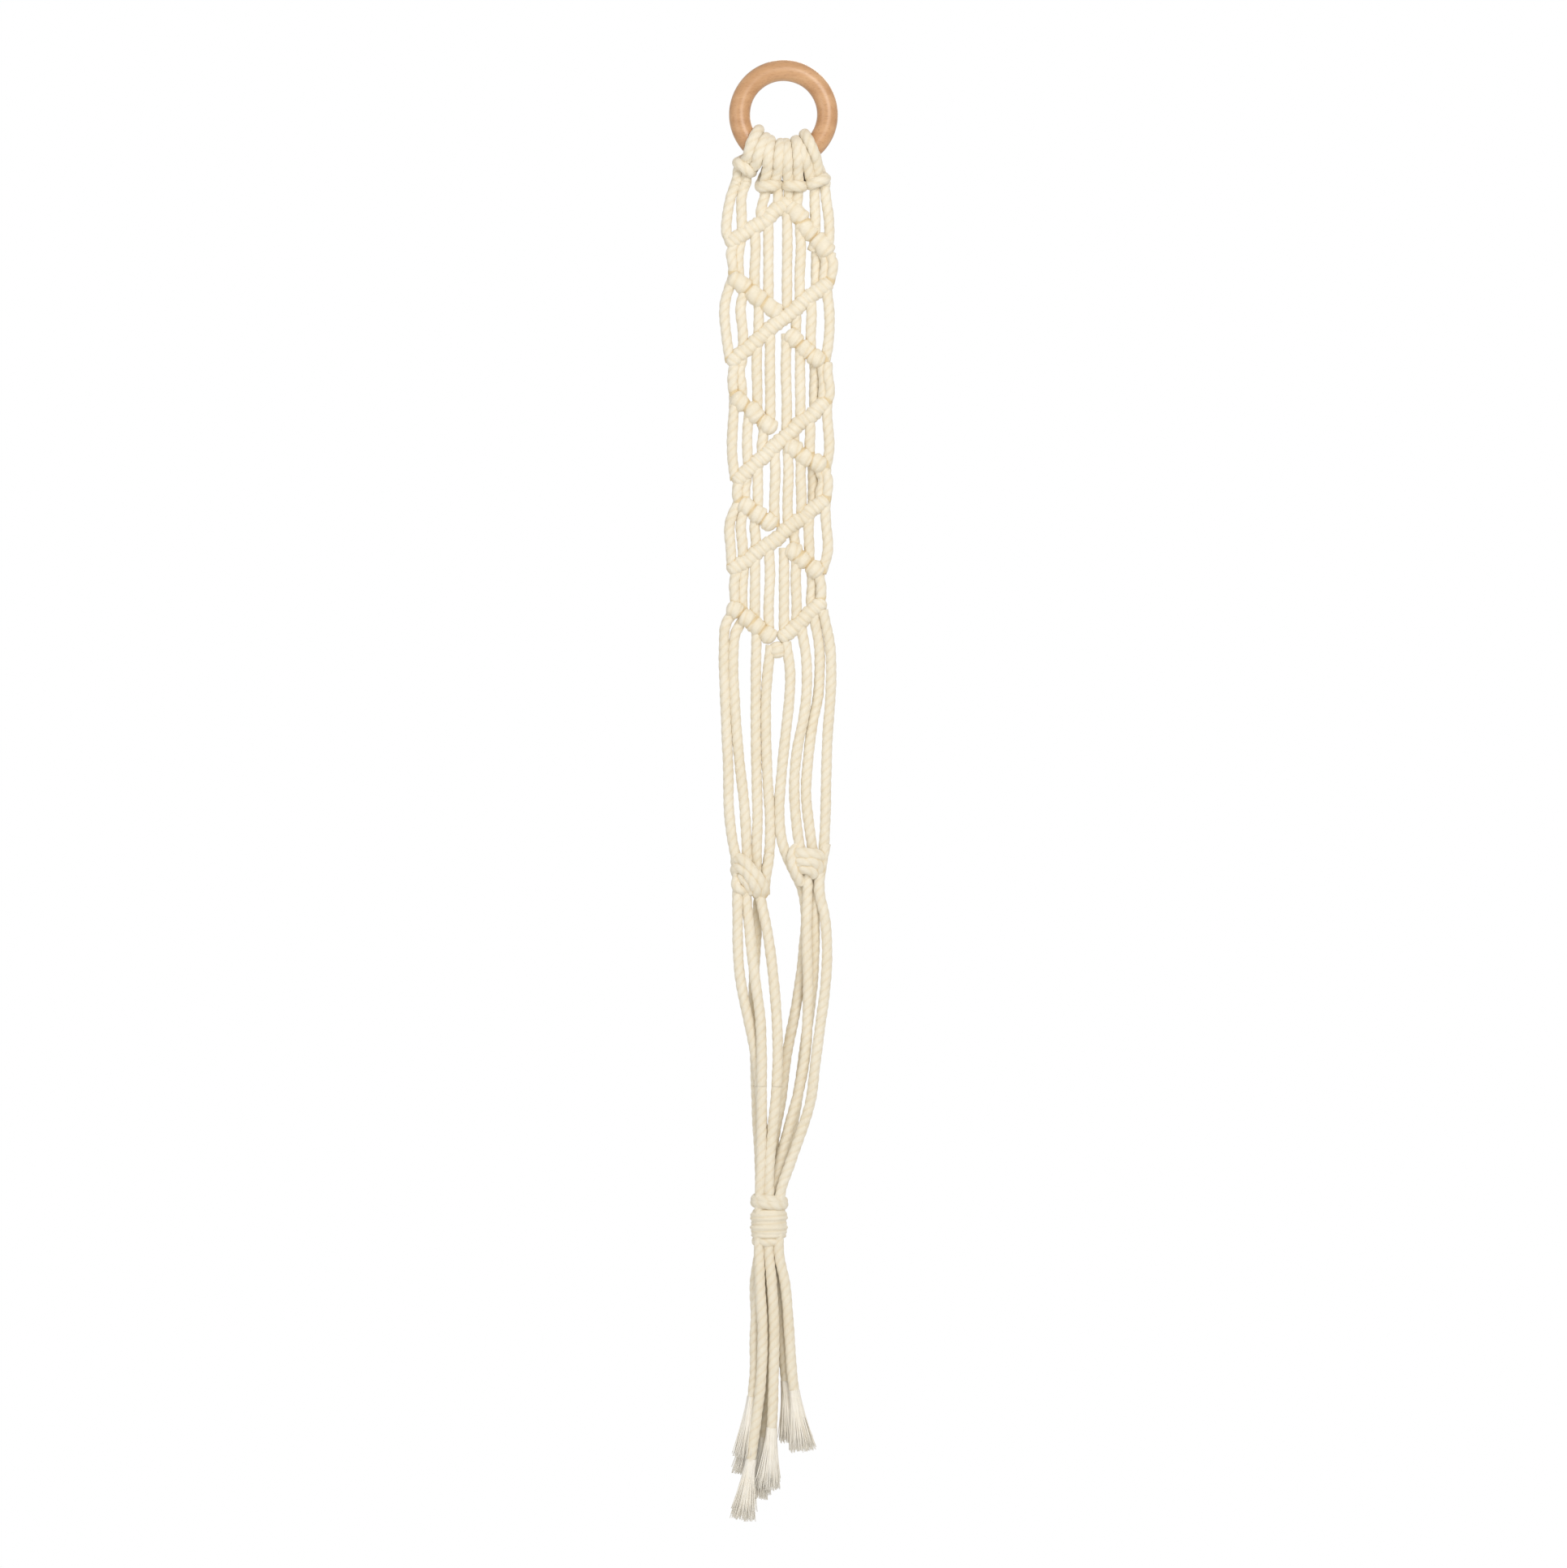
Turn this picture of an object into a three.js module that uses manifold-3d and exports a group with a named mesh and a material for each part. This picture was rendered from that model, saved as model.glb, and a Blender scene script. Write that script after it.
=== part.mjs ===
// Hanging macrame planter: a turned wooden ring, cotton rope knotted into a flat panel of four
// diamonds, eight cords that part into two legs, a square knot on each leg, a cradle that spreads
// round a plant pot, a gathering wrap and a frayed tassel.
// Millimetres, +Z up, the front faces -Y. The origin is where a hook touches the ring: the lowest
// point of the inner wall at the ring's top.
import * as THREE from 'three';
import { mergeVertices } from 'three/addons/utils/BufferGeometryUtils.js';
import Module from 'manifold-3d';

const wasm = await Module();
wasm.setup();

// ---- driving dimensions ----
const CORD_R = 2.7; // a cord's solid, a little under the 6 mm rope so that neighbours clear
const CORD_SIDES = 8;
const CORD_STEP = 14; // a tube has one ring of points about every so many millimetres
const FINE_STEP = 8; // where a tube bends sharply
const COARSE_STEP = 20; // where a tube is straight
const GAP = 0.3; // clearance kept between neighbouring pieces
const NEAR = 1; // pieces whose boxes are further apart than this never meet
const FAR = 900; // reaches past every side of the planter
const WELD = 1e-3; // corners closer than this are one corner

const RING_OUTER_R = 32.5;
const ROD_R = 6.25; // the ring's own thickness, halved
const RING_R = RING_OUTER_R - ROD_R; // centre line of the ring's rod
const RING_CENTRE = [0, 0, ROD_R - RING_R]; // the hook bears at the origin
const RING_SIDES = 12;
const RING_STEPS = 40;

const HEAD_ANGLES = [-40, -15.3, 9.5, 34.4]; // where the lark's heads sit, degrees from the bottom
const HEAD_WIDTH = 23.8; // degrees of the ring that one head covers
const HEAD_WALL = 5.1;
const HEAD_CLEARANCE = 0.8; // the ring turns inside the heads
const HEAD_SIDES = 12;
const HEAD_STEPS = 4;
const STUB_LEAN = 0.6; // how far across to its end a stub has come where it leaves the sleeve
const STUB_SPARE = 4; // a stub starts and stops this far past its hinge, to be cut there

// A row of double half hitches, halved across: the rows from upper left to lower right are fuller.
const FULL_ROW_R = 5.6;
const FLAT_ROW_R = 4.8;
const HITCH_SIDES = 10;
const HITCH_STEP = 16;

// Hinge lines, [x, z] for the ones that run front to back and [y, z] for the ones across.
const FOLD_LINE = [0, -63.4];
const FOLD_R = 3;
const LEG_LEFT_LINE = [-22.1, -351.5];
const LEG_RIGHT_LINE = [16, -351.5];
const LEG_R = 17.2;
const BEND_LEFT_LINE = [-18.7, -492.6];
const BEND_LEFT_R = 12.6;
const BEND_RIGHT_LINE = [17.2, -485.9];
const BEND_RIGHT_R = 10.4;
const WRAP_LINE = [-8.7, -668.2];
const WRAP_LINE_R = 12;
const DRIFT_GAP = 1.9; // the right side's ends wander this far as the cradle opens
const TASSEL_LINE = [0, -706];
const TASSEL_R = 8.6;
const HINGE_GAP = 0.4;
const HINGE_SIDES = 48;

const WRAP_R = 10.6;
const WRAP_TOP = -664;
const WRAP_BOTTOM = -698;
const WRAP_TURNS = 6;
const WRAP_GROOVE = 1.2; // depth of the groove between two turns
const WRAP_SIDES = 20;
const BUNDLE_R = 8.2; // the eight cords side by side inside the wrap

// The four diamonds. Each holds the two ends [x, z] of its four rows of hitches, and the x of the
// cords that run down inside it and, above its upper rows, outside it.
const DIAMONDS = [
  {
    upper_left: [[1, -72.5], [-31.5, -97]], upper_right: [[3, -73], [26, -103]],
    lower_left: [[-28, -119], [-3, -139.5]], lower_right: [[26, -121], [-1.5, -142]],
    inner_left: [-17, -9], inner_right: [2.2, 10], corner_left: -28.5, corner_right: 24.5,
    outer_left: [-15], outer_right: [11.5],
  },
  {
    upper_left: [[-3, -143.5], [-29, -168]], upper_right: [[4, -153.5], [22.5, -168.5]],
    lower_left: [[-27.5, -189], [-6, -208]], lower_right: [[24.5, -194], [-4, -216]],
    inner_left: [-15.8, -8], inner_right: [1.7, 10], corner_left: -29, corner_right: 24,
    outer_left: [-33.5, -24, -14.8], outer_right: [16.5, 26.2],
  },
  {
    upper_left: [[-6, -218], [-26, -237.5]], upper_right: [[4, -218.5], [23, -231.5]],
    lower_left: [[-25, -253.5], [-6, -266.5]], lower_right: [[23, -252], [-1, -269.5]],
    inner_left: [-15.3, -5.2], inner_right: [2.7, 10.5], corner_left: -24.5, corner_right: 23,
    outer_left: [-29.5, -20.6, -12.4], outer_right: [15.8, 26],
  },
  {
    upper_left: [[-4, -273], [-30.3, -292]], upper_right: [[3, -281.5], [20.5, -293.5]],
    lower_left: [[-31, -317.5], [-6, -333.5]], lower_right: [[22.5, -313], [-0.5, -332]],
    inner_left: [-17, -8.5], inner_right: [0.3, 7.6], corner_left: -30, corner_right: 20.5,
    outer_left: [-30.8, -24, -16.8], outer_right: [15.2, 25],
  },
];
const BOTTOM_KNOT = [-4.1, -340.5];
const BOTTOM_KNOT_R = 4.8;
const BOTTOM_KNOT_DEPTH = 1.3; // depth over width
const BOTTOM_KNOT_SIDES = 12;
const BOTTOM_KNOT_RINGS = 8;

// The outer cords from the heads down to the first diamond, [x, y, z].
const SHOULDERS = [
  [[-27.9, 0, -60], [-31, 0, -68], [-33.5, 0, -80], [-33.7, 0, -92]],
  [[-22.4, 0, -60], [-24.8, 0, -68], [-25, 0, -80], [-24.5, 0, -88]],
  [[18.6, 0, -60], [18.6, 0, -70], [19, 0, -84], [18.6, 0, -96]],
  [[24.4, 0, -60], [25.4, 0, -70], [27.2, 0, -84], [26.6, 0, -98]],
];
// The inner cords' short run between the heads and the first rows of hitches.
const NECKS = [
  [[-9, 0, -60], [-11, 0, -68], [-13.5, 0, -79]],
  [[-3.2, 0, -60], [-3.2, 0, -72]],
  [[3.2, 0, -60], [3.2, 0, -70]],
  [[9.4, 0, -60], [8.6, 0, -68], [7.6, 0, -79]],
];

// The eight cords below the panel, from its last row of hitches to their frayed tips, [x, y, z].
const CORDS = [
  [[-32, 0, -319], [-35.5, 0, -339.5], [-35.5, 0, -351.5], [-35, 0, -363.5], [-34, 0, -388],
    [-33, 0, -412], [-32.5, 0, -436.5], [-30.5, 0, -453.5], [-28, 0, -466.5], [-27.5, 0, -477.5],
    [-27.5, -1, -489], [-27.4, -2, -499.5], [-27.3, -2, -514], [-26.4, -2, -531],
    [-24.2, -2, -545.5], [-20.6, -1.5, -562], [-17.4, -0.5, -578], [-14.8, 0.5, -595],
    [-13.2, 0.5, -614], [-12, 0.5, -640], [-11.6, 0, -662], [-11.6, 0, -681.5],
    [-11.6, 0, -698.5], [-14.5, 0, -717.5], [-17, 0, -747], [-17.5, -1, -776], [-21.5, -1, -800],
    [-28, -1, -812.5], [-32, -1, -818]],
  [[-26.5, 0, -324], [-30, 0, -342], [-30, 0, -354], [-29.5, 0, -363.5], [-28, 0, -388],
    [-26, 0, -409.5], [-23.5, 0, -431.5], [-22, 0, -456], [-21.5, 0, -470.5], [-22, 0, -489],
    [-20.5, -2, -504.5], [-18.6, -4, -523.5], [-16.4, -5, -540.5], [-14, -5, -558],
    [-13.1, -5, -578], [-13, -5, -600], [-13.1, -5, -625.5], [-13.3, -5, -645],
    [-13.9, -5, -662], [-14.5, -5, -681.5], [-14.5, -5, -698.5], [-14, -6, -717.5],
    [-12.5, -6, -747], [-13.5, -6, -776], [-17, -5, -805], [-21, -4, -834], [-24, -3, -855]],
  [[-16, 0, -330], [-16.5, 0, -351.5], [-16.5, 0, -363.5], [-16.5, 0, -388], [-16, 0, -417],
    [-15.5, 0, -441], [-16, 0, -460.5], [-15.5, 0, -475], [-13.5, 0, -489], [-9.5, -1, -509],
    [-6.5, -3, -531], [-4.5, -4, -553], [-3.5, -5, -572], [-3.5, -5, -586.5], [-4.5, -5, -606],
    [-7, -5, -630.5], [-8.5, -5, -650], [-8.7, -5, -664.5], [-8.7, -5, -681.5],
    [-8.7, -5, -698.5], [-7, -6, -717.5], [-5.5, -6, -747], [-6, -6, -776], [-7, -5, -805],
    [-10, -4, -836.5]],
  [[-7.5, 0, -337], [-9.5, 0, -354], [-10.5, 0, -368.5], [-10.5, 0, -388], [-9.5, 0, -417],
    [-8, 0, -441], [-8.5, 1, -460.5], [-11, 3, -474], [-14.5, 6, -487.5], [-16, 6.5, -509],
    [-17.6, 6.5, -533.5], [-17.8, 6.5, -557.5], [-17, 6.5, -582], [-16.3, 6, -603.5],
    [-15.4, 5.5, -625.5], [-14.2, 5, -645], [-14, 5, -662], [-14.5, 5, -681.5],
    [-14.5, 5, -698.5], [-17, 6, -717.5], [-16, 6, -747], [-15.5, 6, -776], [-18, 6, -800],
    [-22.5, 5, -817], [-26.5, 4, -829]],
  [[1.5, 0, -335], [4, 0, -354], [3.5, 0, -368.5], [1.5, 0, -388], [-1, 0, -412],
    [-2.5, 0, -436.5], [-1.5, 0, -451], [1, 1, -460.5], [6, 3, -471.5], [11, 5, -482.5],
    [13.3, 6.3, -495.5], [12.2, 6.5, -518], [9.4, 6.5, -541.5], [7, 6, -556], [3.6, 6, -573],
    [1, 5.8, -588], [-1, 5.5, -606], [-4.5, 5, -625.5], [-7.5, 5, -645], [-8.7, 5, -664.5], [-8.7, 5, -681.5],
    [-8.7, 5, -698.5], [-9.5, 6, -717.5], [-9.5, 6, -747], [-9, 6, -776], [-10.5, 5, -800],
    [-13.5, 4, -824.5], [-15.5, 3, -843]],
  [[10.5, 0, -326], [13.5, 0, -344], [14, 0, -354], [13.5, 0, -368.5], [12, 0, -380.5],
    [8.5, 0, -397.5], [6.5, 0, -417], [7.5, 0, -441], [10, 0, -458], [14, 0, -470.5],
    [14.4, -0.5, -484], [13.9, -1, -499.5], [14, -1, -518], [14.7, -1, -541.5],
    [14.4, 0, -557.5], [13, 0, -582], [9, 0, -603.5], [3, 0, -625.5], [-2.5, 0, -646], [-5.8, 0, -664.5],
    [-5.8, 0, -681.5], [-5.8, 0, -698.5], [-2.6, 1, -717.5], [-1.2, 1, -747], [1.4, 1, -776],
    [3.2, 1, -795.5], [3.5, 1, -809]],
  [[18, 0, -319], [21.5, 1, -339.5], [21.5, 2, -354], [20.5, 3, -368.5], [17.5, 2, -383],
    [15, 1, -402.5], [13.5, 0, -426.5], [15.5, 0, -446], [17.5, 1, -460.5], [19, 3, -473],
    [19.6, 2.4, -485], [18.7, 2, -499.5], [18.5, 2.6, -518], [17.2, 4.6, -541.5],
    [15.8, 5.6, -554], [13.6, 6.5, -570], [11.5, 6.5, -587], [8.6, 6.3, -606],
    [4.6, 5.7, -630], [-0.5, 5, -651], [-2.9, 5, -665.5],
    [-2.9, 5, -681.5], [-2.9, 5, -698.5], [-1, 6.4, -717.5], [0.6, 7, -747], [3.6, 7, -776],
    [7, 6, -795.5], [10.5, 5, -813.5]],
  [[23.5, 0, -316], [28, 0, -339.5], [28.5, 0, -354], [28, 0, -368.5], [26.5, 0, -388],
    [25.5, 0, -417], [25, 0, -441], [24, 0, -458], [22, -1, -471.5], [21.5, -2, -484],
    [24.5, -2, -498.5], [26, -2, -518], [25, -3, -540.5], [22, -4, -563.5], [19, -5, -586.5],
    [16, -5, -609.5], [9.5, -5, -630.5], [3.5, -5, -647.5], [-1.5, -5, -662.5],
    [-2.9, -5, -674], [-2.9, -5, -686], [-2.9, -5, -698.5], [0.8, -5, -717.5], [3.4, -5, -747],
    [5.6, -5, -776], [8.6, -5, -795.5], [13, -4, -813.5]],
];
const LEFT_CORDS = 4; // the first four cords make the left leg
const LEG_TOP_POINTS = 5; // how many points of a cord the panel's last row takes in
const SPARE = 22; // a stretch of cord is made this much too long at each end, then cut

// The square knots: centre [x, z] and half width of the upper and the lower turn.
const SQUARE_KNOTS = {
  left: { centre: [-18.4, -474.9], upper: 10.6, lower: 10.4 },
  right: { centre: [13.2, -466], upper: 11.4, lower: 8.6 },
};
const TURN_R = 5.4;
const TURN_SPACING = 9.6;
const KNOT_DEPTH = 1.45; // depth over height of a turn
const KNOT_SIDES = 12;
const KNOT_END_STEPS = 4;

// ---- materials ----
const beech = () => new THREE.MeshStandardMaterial({ color: 0xc99767, roughness: 0.45 });
const cotton = () => new THREE.MeshStandardMaterial({ color: 0xe9dfc4, roughness: 0.95 });

// ---- solids from three.js geometry ----
function solid(geometry) {
  const bare = geometry.index ? geometry.toNonIndexed() : geometry.clone();
  bare.deleteAttribute('normal');
  bare.deleteAttribute('uv');
  const merged = mergeVertices(bare, WELD);
  return new wasm.Manifold(new wasm.Mesh({
    numProp: 3,
    vertProperties: merged.attributes.position.array,
    triVerts: new Uint32Array(merged.index.array),
  }));
}

function geometryOf(made) {
  const { vertProperties, triVerts } = made.getMesh();
  const geometry = new THREE.BufferGeometry();
  geometry.setAttribute('position', new THREE.BufferAttribute(vertProperties, 3));
  geometry.setIndex(new THREE.BufferAttribute(triVerts, 1));
  geometry.computeVertexNormals();
  return geometry;
}

function circleShape(radius, sides) {
  const corners = [];
  for (let i = 0; i < sides; i += 1) {
    const turn = (2 * Math.PI * (i + 0.5)) / sides;
    corners.push(new THREE.Vector2(radius * Math.cos(turn), radius * Math.sin(turn)));
  }
  return new THREE.Shape(corners);
}

// A closed tube through a list of points.
function tube(points, radius, sides = CORD_SIDES, step = CORD_STEP) {
  const path = new THREE.CatmullRomCurve3(points.map((p) => new THREE.Vector3(...p)));
  const steps = Math.max(2, Math.round(path.getLength() / step));
  return solid(new THREE.ExtrudeGeometry(circleShape(radius, sides), {
    steps, extrudePath: path, bevelEnabled: false,
  }));
}

function box(low, high) {
  const size = high.map((value, i) => value - low[i]);
  const middle = high.map((value, i) => (value + low[i]) / 2);
  return solid(new THREE.BoxGeometry(...size).translate(...middle));
}

// A round bar on a hinge line. Lines across run along X, the others along Y.
function roller([first, z], radius, across = false) {
  const bar = new THREE.CylinderGeometry(radius, radius, FAR, HINGE_SIDES);
  if (across) bar.rotateZ(Math.PI / 2).translate(0, first, z);
  else bar.translate(first, 0, z);
  return solid(bar);
}

const above = (z) => box([-FAR, -FAR, z], [FAR, FAR, FAR]);
const below = (z) => box([-FAR, -FAR, z - FAR], [FAR, FAR, z]);

// What turns below a hinge line keeps a round top there, and what stays above is hollowed to suit.
const roundTop = (made, line, radius, across) =>
  made.subtract(above(line[1]).subtract(roller(line, radius, across)));
const hollowBottom = (made, line, radius, across) =>
  made.subtract(below(line[1])).subtract(roller(line, radius + HINGE_GAP, across));

const biggest = (made) =>
  made.decompose().reduce((a, b) => (a.volume() > b.volume() ? a : b));

// ---- the sub-parts: each is a function of how much fatter than true it is made ----
const hidesBehind = [];
const planter = new THREE.Group();

function addPiece(name, make, material, trim = (made) => made) {
  let made = trim(make(0));
  const bounds = made.boundingBox();
  for (const other of hidesBehind) {
    const clear = [0, 1, 2].some((i) => other.bounds.max[i] < bounds.min[i] - NEAR
      || other.bounds.min[i] > bounds.max[i] + NEAR);
    if (!clear) made = made.subtract(other.grown);
  }
  made = biggest(solid(geometryOf(made)));
  hidesBehind.push({ grown: trim(make(GAP)), bounds });
  const mesh = new THREE.Mesh(geometryOf(made), material);
  mesh.name = name;
  planter.add(mesh);
}

// ---- the wooden ring ----
function ringSolid(rod) {
  const profile = [];
  for (let i = 0; i <= RING_SIDES; i += 1) {
    const turn = (2 * Math.PI * (i % RING_SIDES)) / RING_SIDES;
    profile.push(new THREE.Vector2(RING_R + rod * Math.cos(turn), rod * Math.sin(turn)));
  }
  const wheel = new THREE.LatheGeometry(profile, RING_STEPS);
  return solid(wheel.translate(...RING_CENTRE));
}
addPiece('wooden_ring', (grow) => ringSolid(ROD_R + grow), beech());

// ---- the lark's heads: two turns of a doubled cord over the ring, its ends leaving below ----
function ringPoint(degrees) {
  const turn = THREE.MathUtils.degToRad(degrees);
  return [RING_R * Math.sin(turn), 0, RING_CENTRE[2] - RING_R * Math.cos(turn)];
}

function larksHead(degrees, ends, grow) {
  const shape = circleShape(ROD_R + HEAD_CLEARANCE + HEAD_WALL + grow, HEAD_SIDES);
  shape.holes.push(new THREE.Path(circleShape(ROD_R + HEAD_CLEARANCE, HEAD_SIDES).getPoints()));
  const half = HEAD_WIDTH / 2 + grow / 2;
  const arc = [-half, 0, half].map((turn) => new THREE.Vector3(...ringPoint(degrees + turn)));
  const sleeve = solid(new THREE.ExtrudeGeometry(shape, {
    steps: HEAD_STEPS, extrudePath: new THREE.CatmullRomCurve3(arc), bevelEnabled: false,
  }));
  const [x, , z] = ringPoint(degrees);
  const wallMiddle = ROD_R + HEAD_CLEARANCE + HEAD_WALL / 2;
  return ends.reduce((made, end) => made.add(tube(
    [[x + (end[0] - x) * STUB_LEAN, 0, z - wallMiddle], [end[0], 0, end[2] + STUB_SPARE],
      [end[0], 0, end[2] - STUB_SPARE]], CORD_R + grow, CORD_SIDES, FINE_STEP,
  )), sleeve);
}

const headEnds = [
  [SHOULDERS[0][0], SHOULDERS[1][0]], [NECKS[0][0], NECKS[1][0]],
  [NECKS[2][0], NECKS[3][0]], [SHOULDERS[2][0], SHOULDERS[3][0]],
];
HEAD_ANGLES.forEach((degrees, i) => {
  addPiece(`larks_head_${i + 1}`, (grow) => larksHead(degrees, headEnds[i], grow), cotton(),
    (made) => hollowBottom(made, FOLD_LINE, FOLD_R, true));
});

// ---- the panel ----
function hitchRow([from, to], grow) {
  const fallsToRight = to[0] > from[0];
  const radius = fallsToRight ? FULL_ROW_R : FLAT_ROW_R;
  return tube([[from[0], 0, from[1]], [(from[0] + to[0]) / 2, 0, (from[1] + to[1]) / 2],
    [to[0], 0, to[1]]], radius + grow, HITCH_SIDES, HITCH_STEP);
}

const rowHeight = ([from, to], x) =>
  from[1] + ((to[1] - from[1]) * THREE.MathUtils.clamp((x - from[0]) / (to[0] - from[0]), 0, 1));

// A straight cord that comes down into a row of hitches and is one piece with it.
const run = (x, top, bottom, grow) =>
  tube([[x, 0, top], [x, 0, (top + bottom) / 2], [x, 0, bottom]], CORD_R + grow, CORD_SIDES,
    COARSE_STEP);

function panelRow(row, runs, aboveRows, grow) {
  return runs.reduce((made, x) => {
    const top = Math.max(...aboveRows.map((other) => rowHeight(other, x)));
    return made.add(run(x, top, rowHeight(row, x), grow));
  }, hitchRow(row, grow));
}

const keepsFold = (made) => roundTop(made, FOLD_LINE, FOLD_R, true);
const panelTrim = (made) => [LEG_LEFT_LINE, LEG_RIGHT_LINE].reduce(
  (kept, line) => hollowBottom(kept, line, LEG_R), keepsFold(made));

// The tops of the cords that leave a last row for the leg below it.
const legTops = (side) => {
  if (side === 'lower_left') return CORDS.slice(0, LEFT_CORDS);
  return side === 'lower_right' ? CORDS.slice(LEFT_CORDS) : [];
};

DIAMONDS.forEach((diamond, i) => {
  const over = i ? DIAMONDS[i - 1] : null;
  const number = `diamond_${i + 1}`;
  const rows = [
    ['upper_left', diamond.outer_left, over && [over.lower_left]],
    ['upper_right', diamond.outer_right, over && [over.lower_right]],
    ['lower_right', [...diamond.inner_right, diamond.corner_right], [diamond.upper_right]],
    ['lower_left', [...diamond.inner_left, diamond.corner_left], [diamond.upper_left]],
  ];
  const isLast = i === DIAMONDS.length - 1;
  for (const [side, runs, aboveRows] of rows) {
    addPiece(`${number}_${side}`, (grow) => (isLast ? legTops(side) : []).reduce(
      (made, points) => made.add(tube(points.slice(0, LEG_TOP_POINTS), CORD_R + grow)),
      panelRow(diamond[side], aboveRows ? runs : [], aboveRows ?? [], grow)),
    cotton(), panelTrim);
  }
});

addPiece('bottom_knot', (grow) => solid(
  new THREE.SphereGeometry(BOTTOM_KNOT_R + grow, BOTTOM_KNOT_SIDES, BOTTOM_KNOT_RINGS)
    .scale(1, BOTTOM_KNOT_DEPTH, 1).translate(BOTTOM_KNOT[0], 0, BOTTOM_KNOT[1])),
cotton(), panelTrim);

SHOULDERS.forEach((points, i) => {
  addPiece(`shoulder_cord_${i + 1}`, (grow) => tube(points, CORD_R + grow), cotton(), keepsFold);
});
NECKS.forEach((points, i) => {
  addPiece(`neck_cord_${i + 1}`, (grow) => tube(points, CORD_R + grow), cotton(), keepsFold);
});

// ---- the square knots and the cords of the legs, the cradle and the tassel ----
function squareKnot({ centre: [x, z], upper, lower }, grow) {
  const turn = (half, height) => solid(
    new THREE.CapsuleGeometry(TURN_R + grow, 2 * (half - TURN_R), KNOT_END_STEPS, KNOT_SIDES)
      .rotateZ(Math.PI / 2).scale(1, KNOT_DEPTH, 1).translate(x, 0, height));
  return turn(upper, z + TURN_SPACING / 2).add(turn(lower, z - TURN_SPACING / 2));
}
addPiece('square_knot_left', (grow) => squareKnot(SQUARE_KNOTS.left, grow), cotton(),
  (made) => made.subtract(roller(BEND_LEFT_LINE, BEND_LEFT_R + HINGE_GAP)));
addPiece('square_knot_right', (grow) => squareKnot(SQUARE_KNOTS.right, grow), cotton(),
  (made) => made.subtract(roller(BEND_RIGHT_LINE, BEND_RIGHT_R + HINGE_GAP)));

// The stretch of a cord between two heights, with a little to spare.
const stretch = (points, top, bottom) =>
  points.filter((p) => p[2] < top + SPARE && p[2] > bottom - SPARE);

CORDS.forEach((points, i) => {
  const left = i < LEFT_CORDS;
  const legLine = left ? LEG_LEFT_LINE : LEG_RIGHT_LINE;
  const knot = SQUARE_KNOTS[left ? 'left' : 'right'];
  addPiece(`leg_cord_${i + 1}`, (grow) => tube(
    stretch(points, legLine[1], knot.centre[1]), CORD_R + grow), cotton(),
  (made) => biggest(roundTop(made, legLine, LEG_R).subtract(below(knot.centre[1] + TURN_R))));
});

CORDS.forEach((points, i) => {
  const left = i < LEFT_CORDS;
  const line = left ? BEND_LEFT_LINE : BEND_RIGHT_LINE;
  addPiece(`cradle_cord_${i + 1}`, (grow) => tube(
    stretch(points, line[1], WRAP_LINE[1]), CORD_R + grow), cotton(),
  (made) => biggest(hollowBottom(
    roundTop(made, line, left ? BEND_LEFT_R : BEND_RIGHT_R), WRAP_LINE,
    left ? WRAP_LINE_R : WRAP_LINE_R + DRIFT_GAP)));
});

// ---- the gathering wrap: turns of cord drawn tight round the bundle, domed on top ----
function wrapSolid(grow) {
  const pitch = (WRAP_TOP - WRAP_BOTTOM) / WRAP_TURNS;
  const outline = [new THREE.Vector2(0, WRAP_BOTTOM - grow)];
  for (let i = 0; i < WRAP_TURNS; i += 1) {
    const z = WRAP_BOTTOM + i * pitch;
    outline.push(new THREE.Vector2(WRAP_R - WRAP_GROOVE + grow, z + pitch * 0.1));
    outline.push(new THREE.Vector2(WRAP_R + grow, z + pitch * 0.5));
    outline.push(new THREE.Vector2(WRAP_R - WRAP_GROOVE + grow, z + pitch * 0.9));
  }
  const dome = WRAP_LINE[1] + WRAP_LINE_R + grow;
  outline.push(new THREE.Vector2(BUNDLE_R + grow, WRAP_TOP), new THREE.Vector2(BUNDLE_R, dome),
    new THREE.Vector2(0, dome));
  return solid(new THREE.LatheGeometry(outline, WRAP_SIDES).rotateX(Math.PI / 2)
    .translate(WRAP_LINE[0], 0, 0));
}
addPiece('gathering_wrap', wrapSolid, cotton(), (made) => roundTop(
  made.subtract(roller(TASSEL_LINE, TASSEL_R + HINGE_GAP, true)), WRAP_LINE, WRAP_LINE_R));

CORDS.forEach((points, i) => {
  addPiece(`tassel_cord_${i + 1}`, (grow) => tube(
    points.filter((p) => p[2] < WRAP_BOTTOM + SPARE), CORD_R + grow), cotton(),
  (made) => biggest(roundTop(made, TASSEL_LINE, TASSEL_R, true)));
});

export default planter;
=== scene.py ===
"""Hanging macrame planter: a turned wooden ring, natural cotton rope and nothing else. The sections
follow the making: ring, lark's heads, knotted panel, legs, square knots, cradle, wrap, tassel.
Metres, +Z up, the front faces -Y, and the origin is where a hook bears inside the ring."""

import math

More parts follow.
